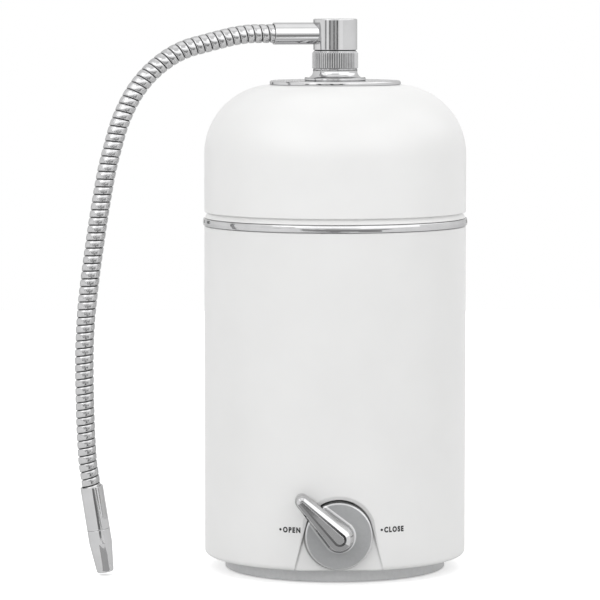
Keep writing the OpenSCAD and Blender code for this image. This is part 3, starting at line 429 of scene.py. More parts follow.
# Plinth screws: zinc-plated pan heads between the feet, which hold the plinth to the
# bosses of the shell. Their heads stand just proud of the plinth's floor.
screw_head_r = 0.003
screw_head_h = 0.0015
screw_proud = 0.00035
screw_circle_r = 0.053
screw_soft = 0.0003
zinc_finish = grained(
    "zinc_plating", (0.52, 0.52, 0.53), (0.4, 0.4, 0.41), (0.25, 0.45), 700, 6e-6, metal=1.0
)
screw_z = plinth_low[2] - screw_proud
screw_outline = rounded([
    (0, screw_z + screw_head_h / 2, 0),
    (screw_head_r / 4, screw_z + screw_head_h / 2, screw_soft / 2),
    (screw_head_r / 2, screw_z, screw_soft / 2),
    (screw_head_r, screw_z),
    (screw_head_r, screw_z + screw_head_h),
    (0, screw_z + screw_head_h, 0),
], screw_soft)
set_round(
    "plinth_screw", turned(screw_outline, 32), screw_circle_r, pi / foot_count,
    "steel", zinc_finish, "plinth_screws",
)

# Body shell: one glossy white moulding, a straight cylinder with a rounded bottom edge, a
# step for the trim band and a collar that the cover fits over. At the foot of the front a
# bell-shaped pocket is sunk into it for the tap, running out at the bottom edge.
shell_low, shell_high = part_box("body_shell")
# The band and the cover's rim sit this much above their solids
rim_rise = 0.001
band_low, band_high = np.array(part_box("trim_band")) + rim_rise * upward
cover_low, cover_high = np.array(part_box("cover"))
cover_low += rim_rise * upward
seal_low, seal_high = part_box("cover_seal")
disc_low, disc_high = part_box("knob_disc")
shell_r = shell_high[0]
shell_wall = 0.003
shell_bore_r = shell_r - shell_wall
shell_floor_r = 0.048
shell_edge = 0.0025
shell_soft = 0.0004
neck_r = shell_r - 0.0015
collar_r = shell_r - 0.0035
groove_foot = 0.0002
groove_in = 0.0019
collar_wall = 0.004
tray_z = 0.056
ledge = 0.003
tap_z = (disc_low[2] + disc_high[2]) / 2
pocket_floor = 0.0656
arch_r = 0.0177
arch_z = tap_z + 0.0014
skirt_half = 0.0237
pocket_margin = 0.006
steep_from, steep_to = 0.009, 0.0255
lip_w = 0.0020
lip_fall = 0.0009
lip_end = 0.6
lip_least = 0.3
lip_shade = 0.12
lip_shade_ramp = 4
wall_w = 0.0005
gap_w = 0.0009
gap_end = 0.3
gap_lean = 0.45
gap_reach = 0.85
gap_spread = 0.75
flank_shade = 0.36
flank_shade_lean = 0.5
joint_shadow_w = 0.0007
joint_shadow_dark = 0.8
joint_shadow_shift = 0.0005
disc_r = disc_high[0]
run_out = 0.0008
flank_tilt = atan2(shell_low[2] - arch_z, skirt_half)
flank_tilt += acos(arch_r / hypot(skirt_half, arch_z - shell_low[2]))


def pocket_skin(x, z, skin):
    """Lets the skin's distance in front of the axis fall into the pocket, and gives a mark
    of painted shade there. The outline is an arch with two straight flanks that touch it
    and spread downwards. Outside it a chamfered lip falls to the arch and runs out on the
    flanks, at the outline is a steep wall, and inside a flat floor, eased back at the
    bottom edge. The painted shade is strongest where the wall meets the floor, fades down
    the flanks and to the right, follows the rim of the disc as a painted shadow set a
    little down and to the left, and lies faintly on the lip, more on the right."""
    side = np.abs(x)
    above = z - arch_z
    to_arch = np.hypot(side, above) - arch_r
    to_flank = side * cos(flank_tilt) + above * sin(flank_tilt) - arch_r
    outside = np.where(np.arctan2(above, side) < flank_tilt, to_flank, to_arch)
    near_edge = np.clip(run_out - (z - shell_low[2]), 0, run_out)
    floor_at = pocket_floor - run_out + np.sqrt(run_out**2 - near_edge**2)
    on_arch = np.clip(above / arch_r + lip_end, 0, 1)
    lip_share = np.clip(1 - outside / (lip_w * np.clip(on_arch, lip_least, 1)), 0, 1)
    lip_at = np.minimum(np.maximum(skin - lip_fall * on_arch * lip_share, floor_at), skin)
    share = np.clip(-outside / wall_w, 0, 1)
    share = share * share * (3 - 2 * share)
    to_right = x / arch_r
    least = flank_shade * (1 - flank_shade_lean * np.clip(to_right, 0, 1))
    fade = np.clip(above / arch_r + gap_end - gap_lean * to_right, least, 1)
    gap = share * fade * np.clip(gap_reach + gap_spread * fade + (outside + wall_w) / gap_w, 0, 1)
    from_joint_shadow = np.abs(np.hypot(x + joint_shadow_shift, z - tap_z + joint_shadow_shift) - disc_r)
    joint_shadow = joint_shadow_dark * np.clip(1 - from_joint_shadow / joint_shadow_w, 0, 1)
    lip_shade_mark = on_arch * np.clip(lip_shade_ramp * lip_share, 0, 1) * (1 - share)
    lip_shade_mark *= np.clip(lip_shade * (1 + to_right), 0, 1)
    sunk = np.minimum(lip_at + (floor_at - lip_at) * share, skin)
    return sunk, np.maximum(np.maximum(gap, joint_shadow * share), lip_shade_mark)


seal_z = (seal_low[2] + seal_high[2]) / 2
seal_half = (seal_high[2] - seal_low[2]) / 2
seal_seat_r = seal_high[0] - 2 * seal_half
corner_steps = 5
corner_points = corner_steps + 3
shell_outline = rounded([
    (shell_floor_r, shell_low[2]),
    (shell_r, shell_low[2], shell_edge),
    (shell_r, band_low[2]),
    (neck_r, band_low[2]),
    (neck_r, band_high[2], shell_soft / 4),
    (shell_r - groove_foot, band_high[2], shell_soft / 4),
    (shell_r - groove_in, cover_low[2]),
    (collar_r, cover_low[2]),
    (collar_r, seal_z - seal_half, shell_soft / 2),
    (seal_seat_r, seal_z - seal_half, shell_soft / 2),
    (seal_seat_r, seal_z + seal_half, shell_soft / 2),
    (collar_r, seal_z + seal_half, shell_soft / 2),
    (collar_r, shell_high[2], 2 * shell_soft),
    (collar_r - collar_wall, shell_high[2], 2 * shell_soft),
    (collar_r - collar_wall, band_low[2]),
    (shell_bore_r, band_low[2] - shell_wall - shell_soft),
    (shell_bore_r, tray_z),
    (shell_bore_r - ledge, tray_z),
    (shell_bore_r, tray_z - ledge),
    (shell_bore_r, shell_low[2] + shell_wall),
    (shell_floor_r, shell_low[2] + shell_wall),
], shell_soft, corner_steps)
pocket_rows = np.concatenate([
    np.linspace(shell_low[2] + 1.4 * shell_edge, arch_z, 46)[:-1],
    np.linspace(arch_z, arch_z + arch_r + pocket_margin, 84),
])
wall_rows = np.concatenate([pocket_rows, np.linspace(pocket_rows[-1], band_low[2], 14)[1:-1]])
inner_rows = np.linspace(tray_z - ledge, shell_low[2] + shell_wall, 26)[1:-1]
outer_count = 2 * corner_points
shell_outline = np.concatenate([
    shell_outline[:outer_count],
    [(shell_r, z) for z in wall_rows],
    shell_outline[outer_count:-outer_count],
    [(shell_bore_r, z) for z in inner_rows],
    shell_outline[-outer_count:],
])
inside_wall = np.arange(len(shell_outline)) > outer_count + len(wall_rows) + corner_points
# Columns lie closest where the pocket's outline is steep
pocket_side = np.concatenate([
    np.linspace(0, steep_from, 16)[1:-1],
    np.linspace(steep_from, steep_to, 67),
    [0.0262, 0.0271, 0.028],
])
pocket_way = np.arcsin(np.concatenate([-pocket_side[::-1], [0], pocket_side]) / shell_r)
back_way = np.linspace(pocket_way[-1], 2 * pi + pocket_way[0], 112)[1:-1]
shell_way = np.concatenate([pocket_way, back_way])
shell_grid = np.stack(np.broadcast_arrays(
    shell_outline[:, :1] * np.sin(shell_way),
    -shell_outline[:, :1] * np.cos(shell_way),
    shell_outline[:, 1:],
), axis=-1)
behind = shell_wall * inside_wall[:, None]
in_front = -shell_grid[..., 1]
sunk, gap = pocket_skin(shell_grid[..., 0], shell_grid[..., 2], in_front + behind)
near_pocket = (in_front > shell_floor_r) & (shell_grid[..., 2] < pocket_rows[-1])
shell_grid[..., 1] = np.where(near_pocket, behind - sunk, shell_grid[..., 1])
white_pale = (0.815, 0.815, 0.81)
white_dark = (0.79, 0.79, 0.785)
shell_finish = grained("gloss_white_body", white_pale, white_dark, (0.28, 0.38), 25, 1.5e-6)
# Painted shade in the pocket, with a painted shadow round the disc
tinted(shell_finish, "gap", (0.03, 0.03, 0.03))
build(
    "body_moulding", shell_grid, "base_unit", "white_plastic", shell_finish, "body_shell",
    gap=gap * near_pocket,
)

# Tap words: OPEN and CLOSE, each after a dot, in black ink printed on the shell beside the
# pocket, a hair thicker than the surface.
word_height = 0.0030
word_middle = 0.0292
word_lift = 0.00002
word_thick = 0.00006
dot_r = 0.00066
ink_finish = grained(
    "black_print", (0.02, 0.02, 0.021), (0.012, 0.012, 0.012), (0.4, 0.55), 800, 2e-6
)


def printed(name, word, left, right):
    """A word drawn flat, stretched between two places along the shell's girth and wrapped
    on the shell: a point's distance along the girth becomes its angle."""
    letters = bpy.data.curves.new(name, "FONT")
    letters.body = word
    letters.extrude = 0.5
    letters.offset = 0.055
    letters.space_character = 1.35
    drawing = bpy.data.objects.new(name, letters)
    mesh = bpy.data.meshes.new_from_object(drawing)
    bpy.data.objects.remove(drawing)
    flat = np.empty(3 * len(mesh.vertices))
    mesh.vertices.foreach_get("co", flat)
    flat = flat.reshape(-1, 3)
    flat -= flat.min(axis=0)
    flat /= flat.max(axis=0)
    angle = (left + (right - left) * flat[:, 0]) / shell_r
    radius = shell_r + word_lift + word_thick * flat[:, 2]
    height = word_middle + word_height * (flat[:, 1] - 0.5)
    wrapped = np.stack([radius * np.sin(angle), -radius * np.cos(angle), height], axis=1)
    mesh.vertices.foreach_set("co", wrapped.ravel())
    mesh.materials.clear()
    return added(name, mesh)


def dotted(girth):
    """Points of a round spot on the shell, centred on a place along its girth."""
    turn = girth / shell_r
    outward = np.array([sin(turn), -cos(turn), 0])
    middle = word_middle * upward + (shell_r + word_lift) * outward
    spot = rounded([
        (0, 0, 0),
        (dot_r, 0),
        (dot_r, word_thick),
        (0, word_thick, 0),
    ], word_thick / 3)
    return laid_along(turned(spot, 24), middle, outward, upward)


for word, dot_at, left, right in [
    ("OPEN", -0.0314, -0.0299, -0.0203),
    ("CLOSE", 0.0228, 0.0242, 0.0355),
]:
    letters = printed(f"word_{word.lower()}", word, left, right)
    place(letters, "base_unit", "black_rubber", ink_finish)
    build(f"dot_{word.lower()}", dotted(dot_at), "base_unit", "black_rubber", ink_finish)

# Trim band: a rolled strip of bright plated metal in the step of the shell, bowed out so
# that it stands a little proud. Above it a white groove is left open under the cover.
band_r = band_high[0]
band_h = band_high[2] - band_low[2]
band_bow = band_r - neck_r
band_ridge = 0.0003
ridge_round = 0.15
band_square = 14
band_shade_sharp = 16
band_rise = np.sin(np.linspace(-pi / 2, pi / 2, 41))
ridge_fall = band_ridge * (np.hypot(band_rise, ridge_round) - ridge_round)
band_outline = np.stack([
    band_r - ridge_fall - (band_bow - band_ridge) * np.abs(band_rise)**band_square,
    (band_low[2] + band_high[2]) / 2 + band_rise * band_h / 2,
], axis=1)
band_finish = chromed("bright_strip_plating", (0.05, 0.12), 120)
# Painted shadow lines along the top and bottom edges of the band
tinted(band_finish, "edge", (0.06, 0.06, 0.062))
build(
    "trim_band_strip", turned(band_outline, 256),
    "base_unit", "chrome", band_finish, "trim_band",
    edge=np.abs(band_rise)[:, None]**band_shade_sharp,
)

# Cover seal: a rubber ring of round section in a groove of the shell's collar, on which
# the cover sits tight.
section = np.linspace(0, 2 * pi, 24, endpoint=False)


def ring_of(low, high):
    """Ring of round section that fills the given box."""
    half = (high[2] - low[2]) / 2
    middle = high[0] - half
    height = low[2] + half + half * np.sin(section)
    return turned(np.stack([middle + half * np.cos(section), height], axis=1))


build(
    "cover_o_ring", ring_of(seal_low, seal_high),
    "base_unit", "black_rubber", rubber_finish, "cover_seal",
)

# Cover: a glossy white dome of even thickness, straight at the side, with one large
# shoulder curve up to the flat top that the outlet stands on. It lifts off upwards.
shoulder = 0.037
cover_wall = 0.003
cover_soft = 0.0006
stem_hole_r = 0.00905
cover_steps = 48
cover_pale = (0.84, 0.84, 0.835)
cover_dark = (0.815, 0.815, 0.81)
white_finish = grained("gloss_white_cover", cover_pale, cover_dark, (0.28, 0.38), 25, 1.5e-6)
cover_outline = rounded([
    (stem_hole_r, cover_high[2] - cover_wall, cover_soft / 2),
    (shell_r - cover_wall, cover_high[2] - cover_wall, shoulder - cover_wall),
    (shell_r - cover_wall, cover_low[2]),
    (shell_r, cover_low[2]),
    (shell_r, cover_high[2], shoulder),
    (stem_hole_r, cover_high[2], cover_soft / 2),
], cover_soft, cover_steps)
build("cover_dome", turned(cover_outline, 192), "lid", "white_plastic", white_finish, "cover")

# Top plate: a thin plated disc with a round edge, pressed onto the flat of the cover,
# where the flange of the outlet holds it down.
plate_low, plate_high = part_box("top_plate")
plate_soft = 0.0009
plate_outline = rounded([
    (stem_hole_r, plate_low[2]),
    (plate_high[0], plate_low[2], plate_soft / 2),
    (plate_high[0], plate_high[2], plate_soft),
    (stem_hole_r, plate_high[2]),
], plate_soft / 4, steps=10)
build("top_plate_disc", turned(plate_outline, 192), "lid", "chrome", plated_finish, "top_plate")

# Outlet pedestal: a plated brass turning. A thin flange rests on the plate and sweeps up
# in a hollow curve to the nut; the stem goes down through the cover to its lock nut.
pedestal_low, pedestal_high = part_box("outlet_pedestal")
nut_low, nut_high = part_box("union_nut")
flange_r = pedestal_high[0]
flange_t = 0.0015
flange_soft = 0.0004
flare_r = 0.01185
flare_hollow = 0.0034
flare_h = 0.0039
flange_z = plate_high[2] + flange_t
flare_top = flange_z + flare_h
stem_r = 0.009
stem_bore_r = 0.006
pedestal_outline = rounded([
    (stem_bore_r, pedestal_low[2], flange_soft),
    (stem_r, pedestal_low[2], flange_soft),
    (stem_r, plate_high[2]),
    (flange_r, plate_high[2], flange_soft),
    (flange_r, flange_z, 1.4 * flange_soft),
    (flare_r, flange_z, flare_hollow),
    (flare_r, flare_top),
    (stem_r, flare_top),
    (stem_r, pedestal_high[2]),
    (stem_bore_r, pedestal_high[2]),
], flange_soft / 2, steps=10)
build(
    "outlet_pedestal_turned", turned(pedestal_outline),
    "lid", "chrome", plated_finish, "outlet_pedestal",
)

# Union nut: a plated ring with fine upright knurling between two plain lands. It is
# screwed onto the stem by hand and holds the elbow down, so that the spout can swivel.
nut_r = nut_high[0]
nut_ridges = 60
nut_ridge_depth = 0.0005
nut_land = 0.0006
land_r = nut_r - nut_land
nut_bore_r = 0.0073
nut_soft = 0.0002
nut_groove_round = 3
nut_columns = 12 * nut_ridges
nut_outline = rounded([
    (nut_bore_r, nut_low[2]),
    (land_r, nut_low[2]),
    (land_r, nut_low[2] + nut_land, nut_soft / 2),
    (nut_r, nut_low[2] + 1.6 * nut_land),
    (nut_r, nut_high[2] - 1.6 * nut_land),
    (land_r, nut_high[2] - nut_land, nut_soft / 2),
    (land_r, nut_high[2]),
    (nut_bore_r, nut_high[2]),
], nut_soft, steps=4)
nut_grid = turned(nut_outline, nut_columns)
nut_angle = np.linspace(0, 2 * pi, nut_columns, endpoint=False)
groove_share = np.abs(np.sin(nut_ridges * nut_angle / 2))**nut_groove_round
groove_room = np.clip((nut_outline[:, :1] - land_r) / nut_land, 0, 1)
nut_cut = nut_ridge_depth * groove_share * groove_room
nut_grid[..., :2] *= (1 - nut_cut / nut_outline[:, :1])[..., None]
nut_finish = chromed("knurled_plating", (0.06, 0.14), 200)
# Painted shade in the grooves of the knurling
tinted(nut_finish, "groove", (0.3, 0.3, 0.305))
build(
    "union_nut_knurled", nut_grid, "lid", "chrome", nut_finish, "union_nut",
    groove=groove_share**2 * groove_room,
)

# Swivel elbow: a short plated brass cylinder, drilled across, that turns in the nut on
# its neck. Its top is flat with a narrow bevel.
elbow_low, elbow_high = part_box("swivel_elbow")
elbow_gap = 0.0006
elbow_z = nut_high[2] + elbow_gap
elbow_soft = 0.0006
gap_clear = 0.0001
neck_turn_r = 0.007
spigot_r = 0.00595
spigot_z = pedestal_high[2]
elbow_outline = rounded([
    (0, elbow_low[2], 0),
    (spigot_r, elbow_low[2], elbow_soft),
    (spigot_r, spigot_z),
    (neck_turn_r, spigot_z),
    (neck_turn_r, nut_high[2] + gap_clear),
    (elbow_r - elbow_soft, nut_high[2] + gap_clear, elbow_soft / 6),
    (elbow_r - elbow_soft, elbow_z, elbow_soft / 6),
    (elbow_r, elbow_z),
    (elbow_r, elbow_high[2], elbow_soft),
    (0, elbow_high[2], 0),
], elbow_soft / 3, steps=8)
elbow_finish = chromed("polished_elbow_plating")
# Painted shade on the elbow's neck and on the step under it, in the gap above the nut
tinted(elbow_finish, "under", (0.05, 0.05, 0.052))
elbow_ring, elbow_rise = elbow_outline.T[:, :, None]
build(
    "swivel_elbow_turned", turned(elbow_outline, 160),
    "spout", "chrome", elbow_finish, "swivel_elbow",
    under=(elbow_ring < elbow_r - elbow_soft / 2) & (elbow_rise < elbow_z + elbow_soft),
)

# Hose ferrule: a plated sleeve set into the side of the elbow, shaped to its curve, that
# grips the start of the gooseneck.
ferrule_outline = rounded([
    (hose_hold_r, 0),
    (ferrule_r, 0, edge_soft / 2),
    (ferrule_r, mouth_reach, edge_soft),
    (hose_hold_r, mouth_reach),
], edge_soft / 3)
ferrule_points = turned(ferrule_outline)
elbow_edge = np.sqrt(elbow_r**2 - ferrule_points[..., 0]**2)
ferrule_points[..., 2] = elbow_edge + ferrule_points[..., 2] * (1 - elbow_edge / mouth_reach)
ferrule_points = laid_along(ferrule_points, spout_z * upward, spout_axis, spout_side)
build("hose_ferrule_turned", ferrule_points, "spout", "chrome", plated_finish, "hose_ferrule")

# Knob disc: a moulded disc in satin grey paint with a bright bevel round its rim. A
# round-ended groove with sloping sides is sunk into its face for the lever to lie in.
disc_face = -disc_low[1]
disc_back = -disc_high[1]
disc_bevel = 0.0008
groove_depth = 0.0026
groove_side = 0.0032
groove_r = 0.0082
rim_shine = 0.45
edge_w = 0.0008
edge_mean, edge_swing, edge_least = 0.65, 0.35, 0.3
grey_pale = (0.375, 0.38, 0.385)
grey_dark = (0.35, 0.355, 0.36)
lever_l = 0.0275
lever_hub_r = 0.0074
lever_tip_r = 0.0036
lever_angle = radians(135)
lever_axis = np.array([cos(lever_angle), 0, sin(lever_angle)])
lever_across = np.array([-sin(lever_angle), 0, cos(lever_angle)])
tap_outward = np.array([0, -1, 0])
tap_middle = tap_z * upward
disc_ring = np.concatenate([
    np.linspace(0, disc_r - 1.25 * disc_bevel, 84),
    disc_r - disc_bevel + disc_bevel * np.array([-0.1, 0, 0.1, 0.5, 0.88, 0.97, 1.0]),
])
disc_way = np.linspace(0, 2 * pi, 400, endpoint=False)
along = disc_ring[:, None] * np.cos(disc_way)
aside = disc_ring[:, None] * np.sin(disc_way)
groove_half = groove_r - np.clip(along, 0, None) * (lever_hub_r - lever_tip_r) / lever_l
in_groove = np.where(along < 0, groove_r - np.hypot(along, aside), groove_half - np.abs(aside))
slope_share = np.clip(in_groove / groove_side, 0, 1)
groove_fall = groove_depth * slope_share**2 * (3 - 2 * slope_share)
bevel_fall = np.clip(disc_ring - (disc_r - disc_bevel), 0, None)[:, None]
on_bevel = np.clip(bevel_fall / (disc_bevel / 4), 0, 1)
# Painted light in the groove and on a band round its edge, strongest on the upper right and
# weakest on the lower left
in_edge = np.clip((in_groove + edge_w) / (edge_w / 4), 0, 1)
edge_painted_light = np.clip(edge_mean - edge_swing * aside / groove_r, edge_least, 1)
bright = np.maximum(rim_shine * on_bevel, in_edge * edge_painted_light)
disc_top = disc_face - np.maximum(groove_fall, bevel_fall)
foot_ring = np.array([disc_r, disc_r - disc_bevel / 4, 0])
foot_height = np.array([[disc_back + disc_bevel / 4], [disc_back], [disc_back]])
foot_plain = np.zeros((len(foot_ring), len(disc_way)))
disc_height = np.concatenate([disc_top, foot_height + foot_plain])
ring_all = np.concatenate([disc_ring, foot_ring])[:, None, None]
disc_grid = ring_all * (
    np.cos(disc_way)[:, None] * lever_axis + np.sin(disc_way)[:, None] * lever_across
) + disc_height[..., None] * tap_outward + tap_middle
disc_finish = grained("satin_grey_knob", grey_pale, grey_dark, (0.34, 0.46), 600, 3e-6)
# The bevel's bright finish all round, and the painted light in the groove
tinted(disc_finish, "bright", (0.92, 0.92, 0.925))
disc_shader = disc_finish.node_tree.nodes["Principled BSDF"]
set_inputs(disc_shader, Metallic=marked(disc_finish, "bevel"))
build(
    "knob_disc_moulding", disc_grid, "tap", "grey_plastic", disc_finish, "knob_disc",
    bright=np.concatenate([bright, foot_plain]),
    bevel=np.concatenate([np.broadcast_to(on_bevel, bright.shape), foot_plain]),
)

# Lever: a cast and plated handle, a teardrop from its wide hub to its narrow tip. Its
# sides slope up to a flat ridge that widens to the hub, and a round post holds it off
# the disc, where a square end of the spindle drives it.
lever_top = -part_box("knob_lever")[0][1]
lever_h = 0.012
lever_under = lever_top - lever_h
post_r = 0.0058
post_foot = disc_face - groove_depth
ridge_hub_r = 0.00215
ridge_tip_r = 0.0004
lever_soft = 0.00045
# Each corner of the sides: the share of the slope it lies in, and of the height
foot_in, foot_share = 0.12, 0.06
side_share = 0.56
middle_in, middle_share = 0.28, 0.80
shoulder_in, shoulder_share = 0.74, 0.93
step_tip, step_hub, step_lean = 0.55, 0.8, 0.2
corner_tone = 0.4
side_tone = 0.5
line_half = 0.0002
hub_slope = lever_hub_r - ridge_hub_r
side_outline = rounded([
    (0, 0, 0),
    (lever_hub_r - foot_in * hub_slope, 0, 0.3 * lever_soft),
    (lever_hub_r, foot_share * lever_h, lever_soft),
    (lever_hub_r, side_share * lever_h, 1.6 * lever_soft),
    (lever_hub_r - middle_in * hub_slope, middle_share * lever_h, 2 * lever_soft),
    (lever_hub_r - shoulder_in * hub_slope, shoulder_share * lever_h, 0.4 * lever_soft),
    (ridge_hub_r, lever_h, 0.5 * lever_soft),
    (0, lever_h, 0),
], steps=corner_steps)[corner_points:1 - corner_points]
ridge_share = (lever_hub_r - side_outline[:, 0]) / hub_slope
hub_rows = side_outline[:, 0]
tip_rows = np.clip(lever_tip_r - (lever_tip_r - ridge_tip_r) * ridge_share, 0, None)
tip_rows = np.where(hub_rows < ridge_hub_r, ridge_tip_r * hub_rows / ridge_hub_r, tip_rows)
height_rows = lever_under + side_outline[:, 1]
post_rows = [0, post_r, post_r]
hub_rows = np.concatenate([post_rows, hub_rows])
tip_rows = np.concatenate([post_rows, tip_rows])
reach_rows = np.where(np.arange(len(hub_rows)) < len(post_rows), 0, lever_l)
height_rows = np.concatenate([[post_foot, post_foot, lever_under], height_rows])
lever_way = np.linspace(-pi, pi, 160, endpoint=False)
at_tip = np.cos(lever_way) > (lever_hub_r - lever_tip_r) / lever_l
round_rows = np.where(at_tip, tip_rows[:, None], hub_rows[:, None])
lever_u = np.where(at_tip, reach_rows[:, None], 0) + round_rows * np.cos(lever_way)
lever_v = round_rows * np.sin(lever_way)
lever_grid = (
    lever_u[..., None] * lever_axis + lever_v[..., None] * lever_across
    + height_rows[:, None, None] * tap_outward + tap_middle
)
lever_finish = chromed("polished_lever_plating", scale=150, relief=3e-6)
tinted(lever_finish, "step", (0.02, 0.02, 0.021))
# Painted dark reflections: lines along the step under the ridge, darker at the hub and on the
# upper right, along the middle corner on the upper right and along the side corner on the lower
# left
lever_rise = (height_rows - lever_under)[:, None]
at_step = (lever_rise > shoulder_share * lever_h) & (lever_rise < lever_h - 0.1 * lever_soft)
at_corner = np.abs(lever_rise - middle_share * lever_h) < line_half
at_side = np.abs(lever_rise - side_share * lever_h) < 2 * line_half
lever_dark_reflection = at_step * (np.where(at_tip, step_tip, step_hub) - step_lean * np.sin(lever_way))
lever_dark_reflection += at_corner * corner_tone * np.clip(-np.sin(lever_way), 0, 1)
lever_dark_reflection += at_side * side_tone * np.clip(np.sin(lever_way), 0, 1)
build("knob_lever_cast", lever_grid, "tap", "chrome", lever_finish, "knob_lever", step=lever_dark_reflection)

# Inlet: a push-fit connector in white plastic at the back, screwed through the shell with
# a flange outside. Its collet, a sliding ring, grips the supply tube and lets it go when
# pressed in.
fitting_low, fitting_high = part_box("inlet_fitting")
collet_low, collet_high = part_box("inlet_collet")
inlet_back = np.array([0, 1, 0])
inlet_middle = tap_z * upward
inlet_sink = 0.001
inlet_flange_t = 0.004
seat_y = shell_r - inlet_sink
flange_back_y = seat_y + inlet_flange_t
inlet_flange_r = 0.010
inlet_nose_r = 0.008
inlet_barrel_r = 0.007
collet_seat_r = 0.00505
supply_r = 0.00325
supply_end_y = 0.0595
collet_room = 0.0018
collet_floor_y = collet_low[1] - collet_room
inlet_soft = 0.0006
fitting_finish = grained(
    "satin_white_fitting", (0.76, 0.76, 0.74), (0.7, 0.7, 0.68), (0.35, 0.5), 400, 5e-6
)
fitting_outline = rounded([
    (0, supply_end_y, 0),
    (supply_r, supply_end_y),
    (supply_r, collet_floor_y),
    (collet_seat_r, collet_floor_y),
    (collet_seat_r, fitting_high[1]),
    (inlet_nose_r, fitting_high[1], inlet_soft),
    (inlet_nose_r, flange_back_y, inlet_soft),
    (inlet_flange_r, flange_back_y, inlet_soft),
    (inlet_flange_r, seat_y),
    (inlet_barrel_r, seat_y),
    (inlet_barrel_r, fitting_low[1], inlet_soft),
    (0, fitting_low[1], 0),
], inlet_soft / 2)
build(
    "inlet_fitting_moulded",
    laid_along(turned(fitting_outline, 96), inlet_middle, inlet_back, upward),
    "base_unit", "fitting_plastic", fitting_finish, "inlet_fitting",
)
collet_rim_r = collet_high[0]
collet_rim_t = 0.0015
collet_sleeve_r = 0.005
collet_bore_r = 0.00355
collet_soft = 0.0003
collet_finish = grained(
    "satin_grey_collet", (0.5, 0.51, 0.52), (0.44, 0.45, 0.46), (0.35, 0.5), 400, 5e-6
)
collet_outline = rounded([
    (collet_bore_r, collet_low[1]),
    (collet_sleeve_r, collet_low[1]),
    (collet_sleeve_r, collet_high[1] - collet_rim_t),
    (collet_rim_r, collet_high[1] - collet_rim_t),
    (collet_rim_r, collet_high[1], 2 * collet_soft),
    (collet_bore_r, collet_high[1], 2 * collet_soft),
], collet_soft)
build(
    "inlet_collet_moulded",
    laid_along(turned(collet_outline, 96), inlet_middle, inlet_back, upward),
    "collet", "fitting_plastic", collet_finish, "inlet_collet",
)

# Filter cartridge: a white moulded can with two caps. The upper cap carries the hub and
# the outlet spigot with its seal, which show when the cover is off.
can_low, can_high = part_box("cartridge_can")
cap_low, cap_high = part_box("cartridge_upper_cap")
spigot_seal_low, spigot_seal_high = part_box("cartridge_seal")
cartridge_r = can_high[0]
can_wall = 0.002
can_bore_r = cartridge_r - can_wall
can_soft = 0.0004
cap_rim_h = 0.010
cap_rim_top = can_high[2] + cap_rim_h
hub_r = 0.012
outlet_h = 0.0085
hub_top = cap_high[2] - outlet_h
outlet_r = 0.00595
outlet_bore_r = 0.0025
cap_soft = 0.0012
moulded_finish = grained(
    "satin_white_moulding", (0.77, 0.77, 0.76), (0.755, 0.755, 0.745), (0.35, 0.45), 60, 4e-6
)
can_outline = rounded([
    (can_bore_r, can_low[2]),
    (cartridge_r, can_low[2]),
    (cartridge_r, can_high[2]),
    (can_bore_r, can_high[2]),
], can_soft)
build(
    "cartridge_can_moulded", turned(can_outline, 160),
    "base_unit", "inner_plastic", moulded_finish, "cartridge_can",
)
cap_outline = rounded([
    (outlet_bore_r, cap_low[2]),
    (can_bore_r - can_soft / 4, cap_low[2]),
    (can_bore_r - can_soft / 4, can_high[2], can_soft / 4),
    (cartridge_r, can_high[2]),
    (cartridge_r, cap_rim_top, cap_soft),
    (hub_r, cap_rim_top, cap_soft),
    (hub_r, hub_top, cap_soft),
    (outlet_r, hub_top),
    (outlet_r, cap_high[2]),
    (outlet_bore_r, cap_high[2]),
], can_soft)
build(
    "cartridge_cap_moulded", turned(cap_outline, 160),
    "base_unit", "inner_plastic", moulded_finish, "cartridge_upper_cap",
)
build(
    "spigot_o_ring", ring_of(spigot_seal_low, spigot_seal_high),
    "base_unit", "black_rubber", rubber_finish, "cartridge_seal",
)

# Inner pieces: the valve, tubes, nuts and filter media inside the body keep the shapes of
# their solids. Each takes the finish of what it is made of.
slot_finishes = {
    "black_rubber": rubber_finish,
    "steel": zinc_finish,
    "fitting_plastic": fitting_finish,
    "inner_plastic": moulded_finish,
    "white_plastic": white_finish,
    "grey_plastic": silver_finish,
    "chrome": plated_finish,
    "wound_steel": wound_finish,
    "brass": grained(
        "turned_brass", (0.62, 0.45, 0.2), (0.5, 0.35, 0.15), (0.22, 0.38), 300, 5e-6,
        metal=1.0, stretch=(1, 1, 6),
    ),
    "ceramic": grained(
        "lapped_ceramic", (0.8, 0.78, 0.72), (0.74, 0.72, 0.66), (0.12, 0.25), 500, 1e-6
    ),
    "tube_plastic": grained(
        "drawn_tube", (0.78, 0.79, 0.78), (0.72, 0.73, 0.72), (0.2, 0.35), 200, 4e-6,
        stretch=(1, 0.2, 1),
    ),
    "felt": grained("pressed_felt", (0.74, 0.7, 0.6), (0.6, 0.56, 0.47), (0.85, 1.0), 700, 2e-4),
    "carbon": grained(
        "carbon_grains", (0.05, 0.05, 0.05), (0.008, 0.008, 0.008), (0.6, 0.95), 500, 6e-4
    ),
    "fibre": grained(
        "hollow_fibre", (0.8, 0.8, 0.77), (0.66, 0.66, 0.63), (0.55, 0.75), 500, 1e-4,
        stretch=(1, 1, 0.05),
    ),
}
for subpart in frame["record"]["subparts"]:
    for holder in frame["nodes"][subpart["node"]].material_slots:
        holder.material = slot_finishes[subpart["material_slot"]]

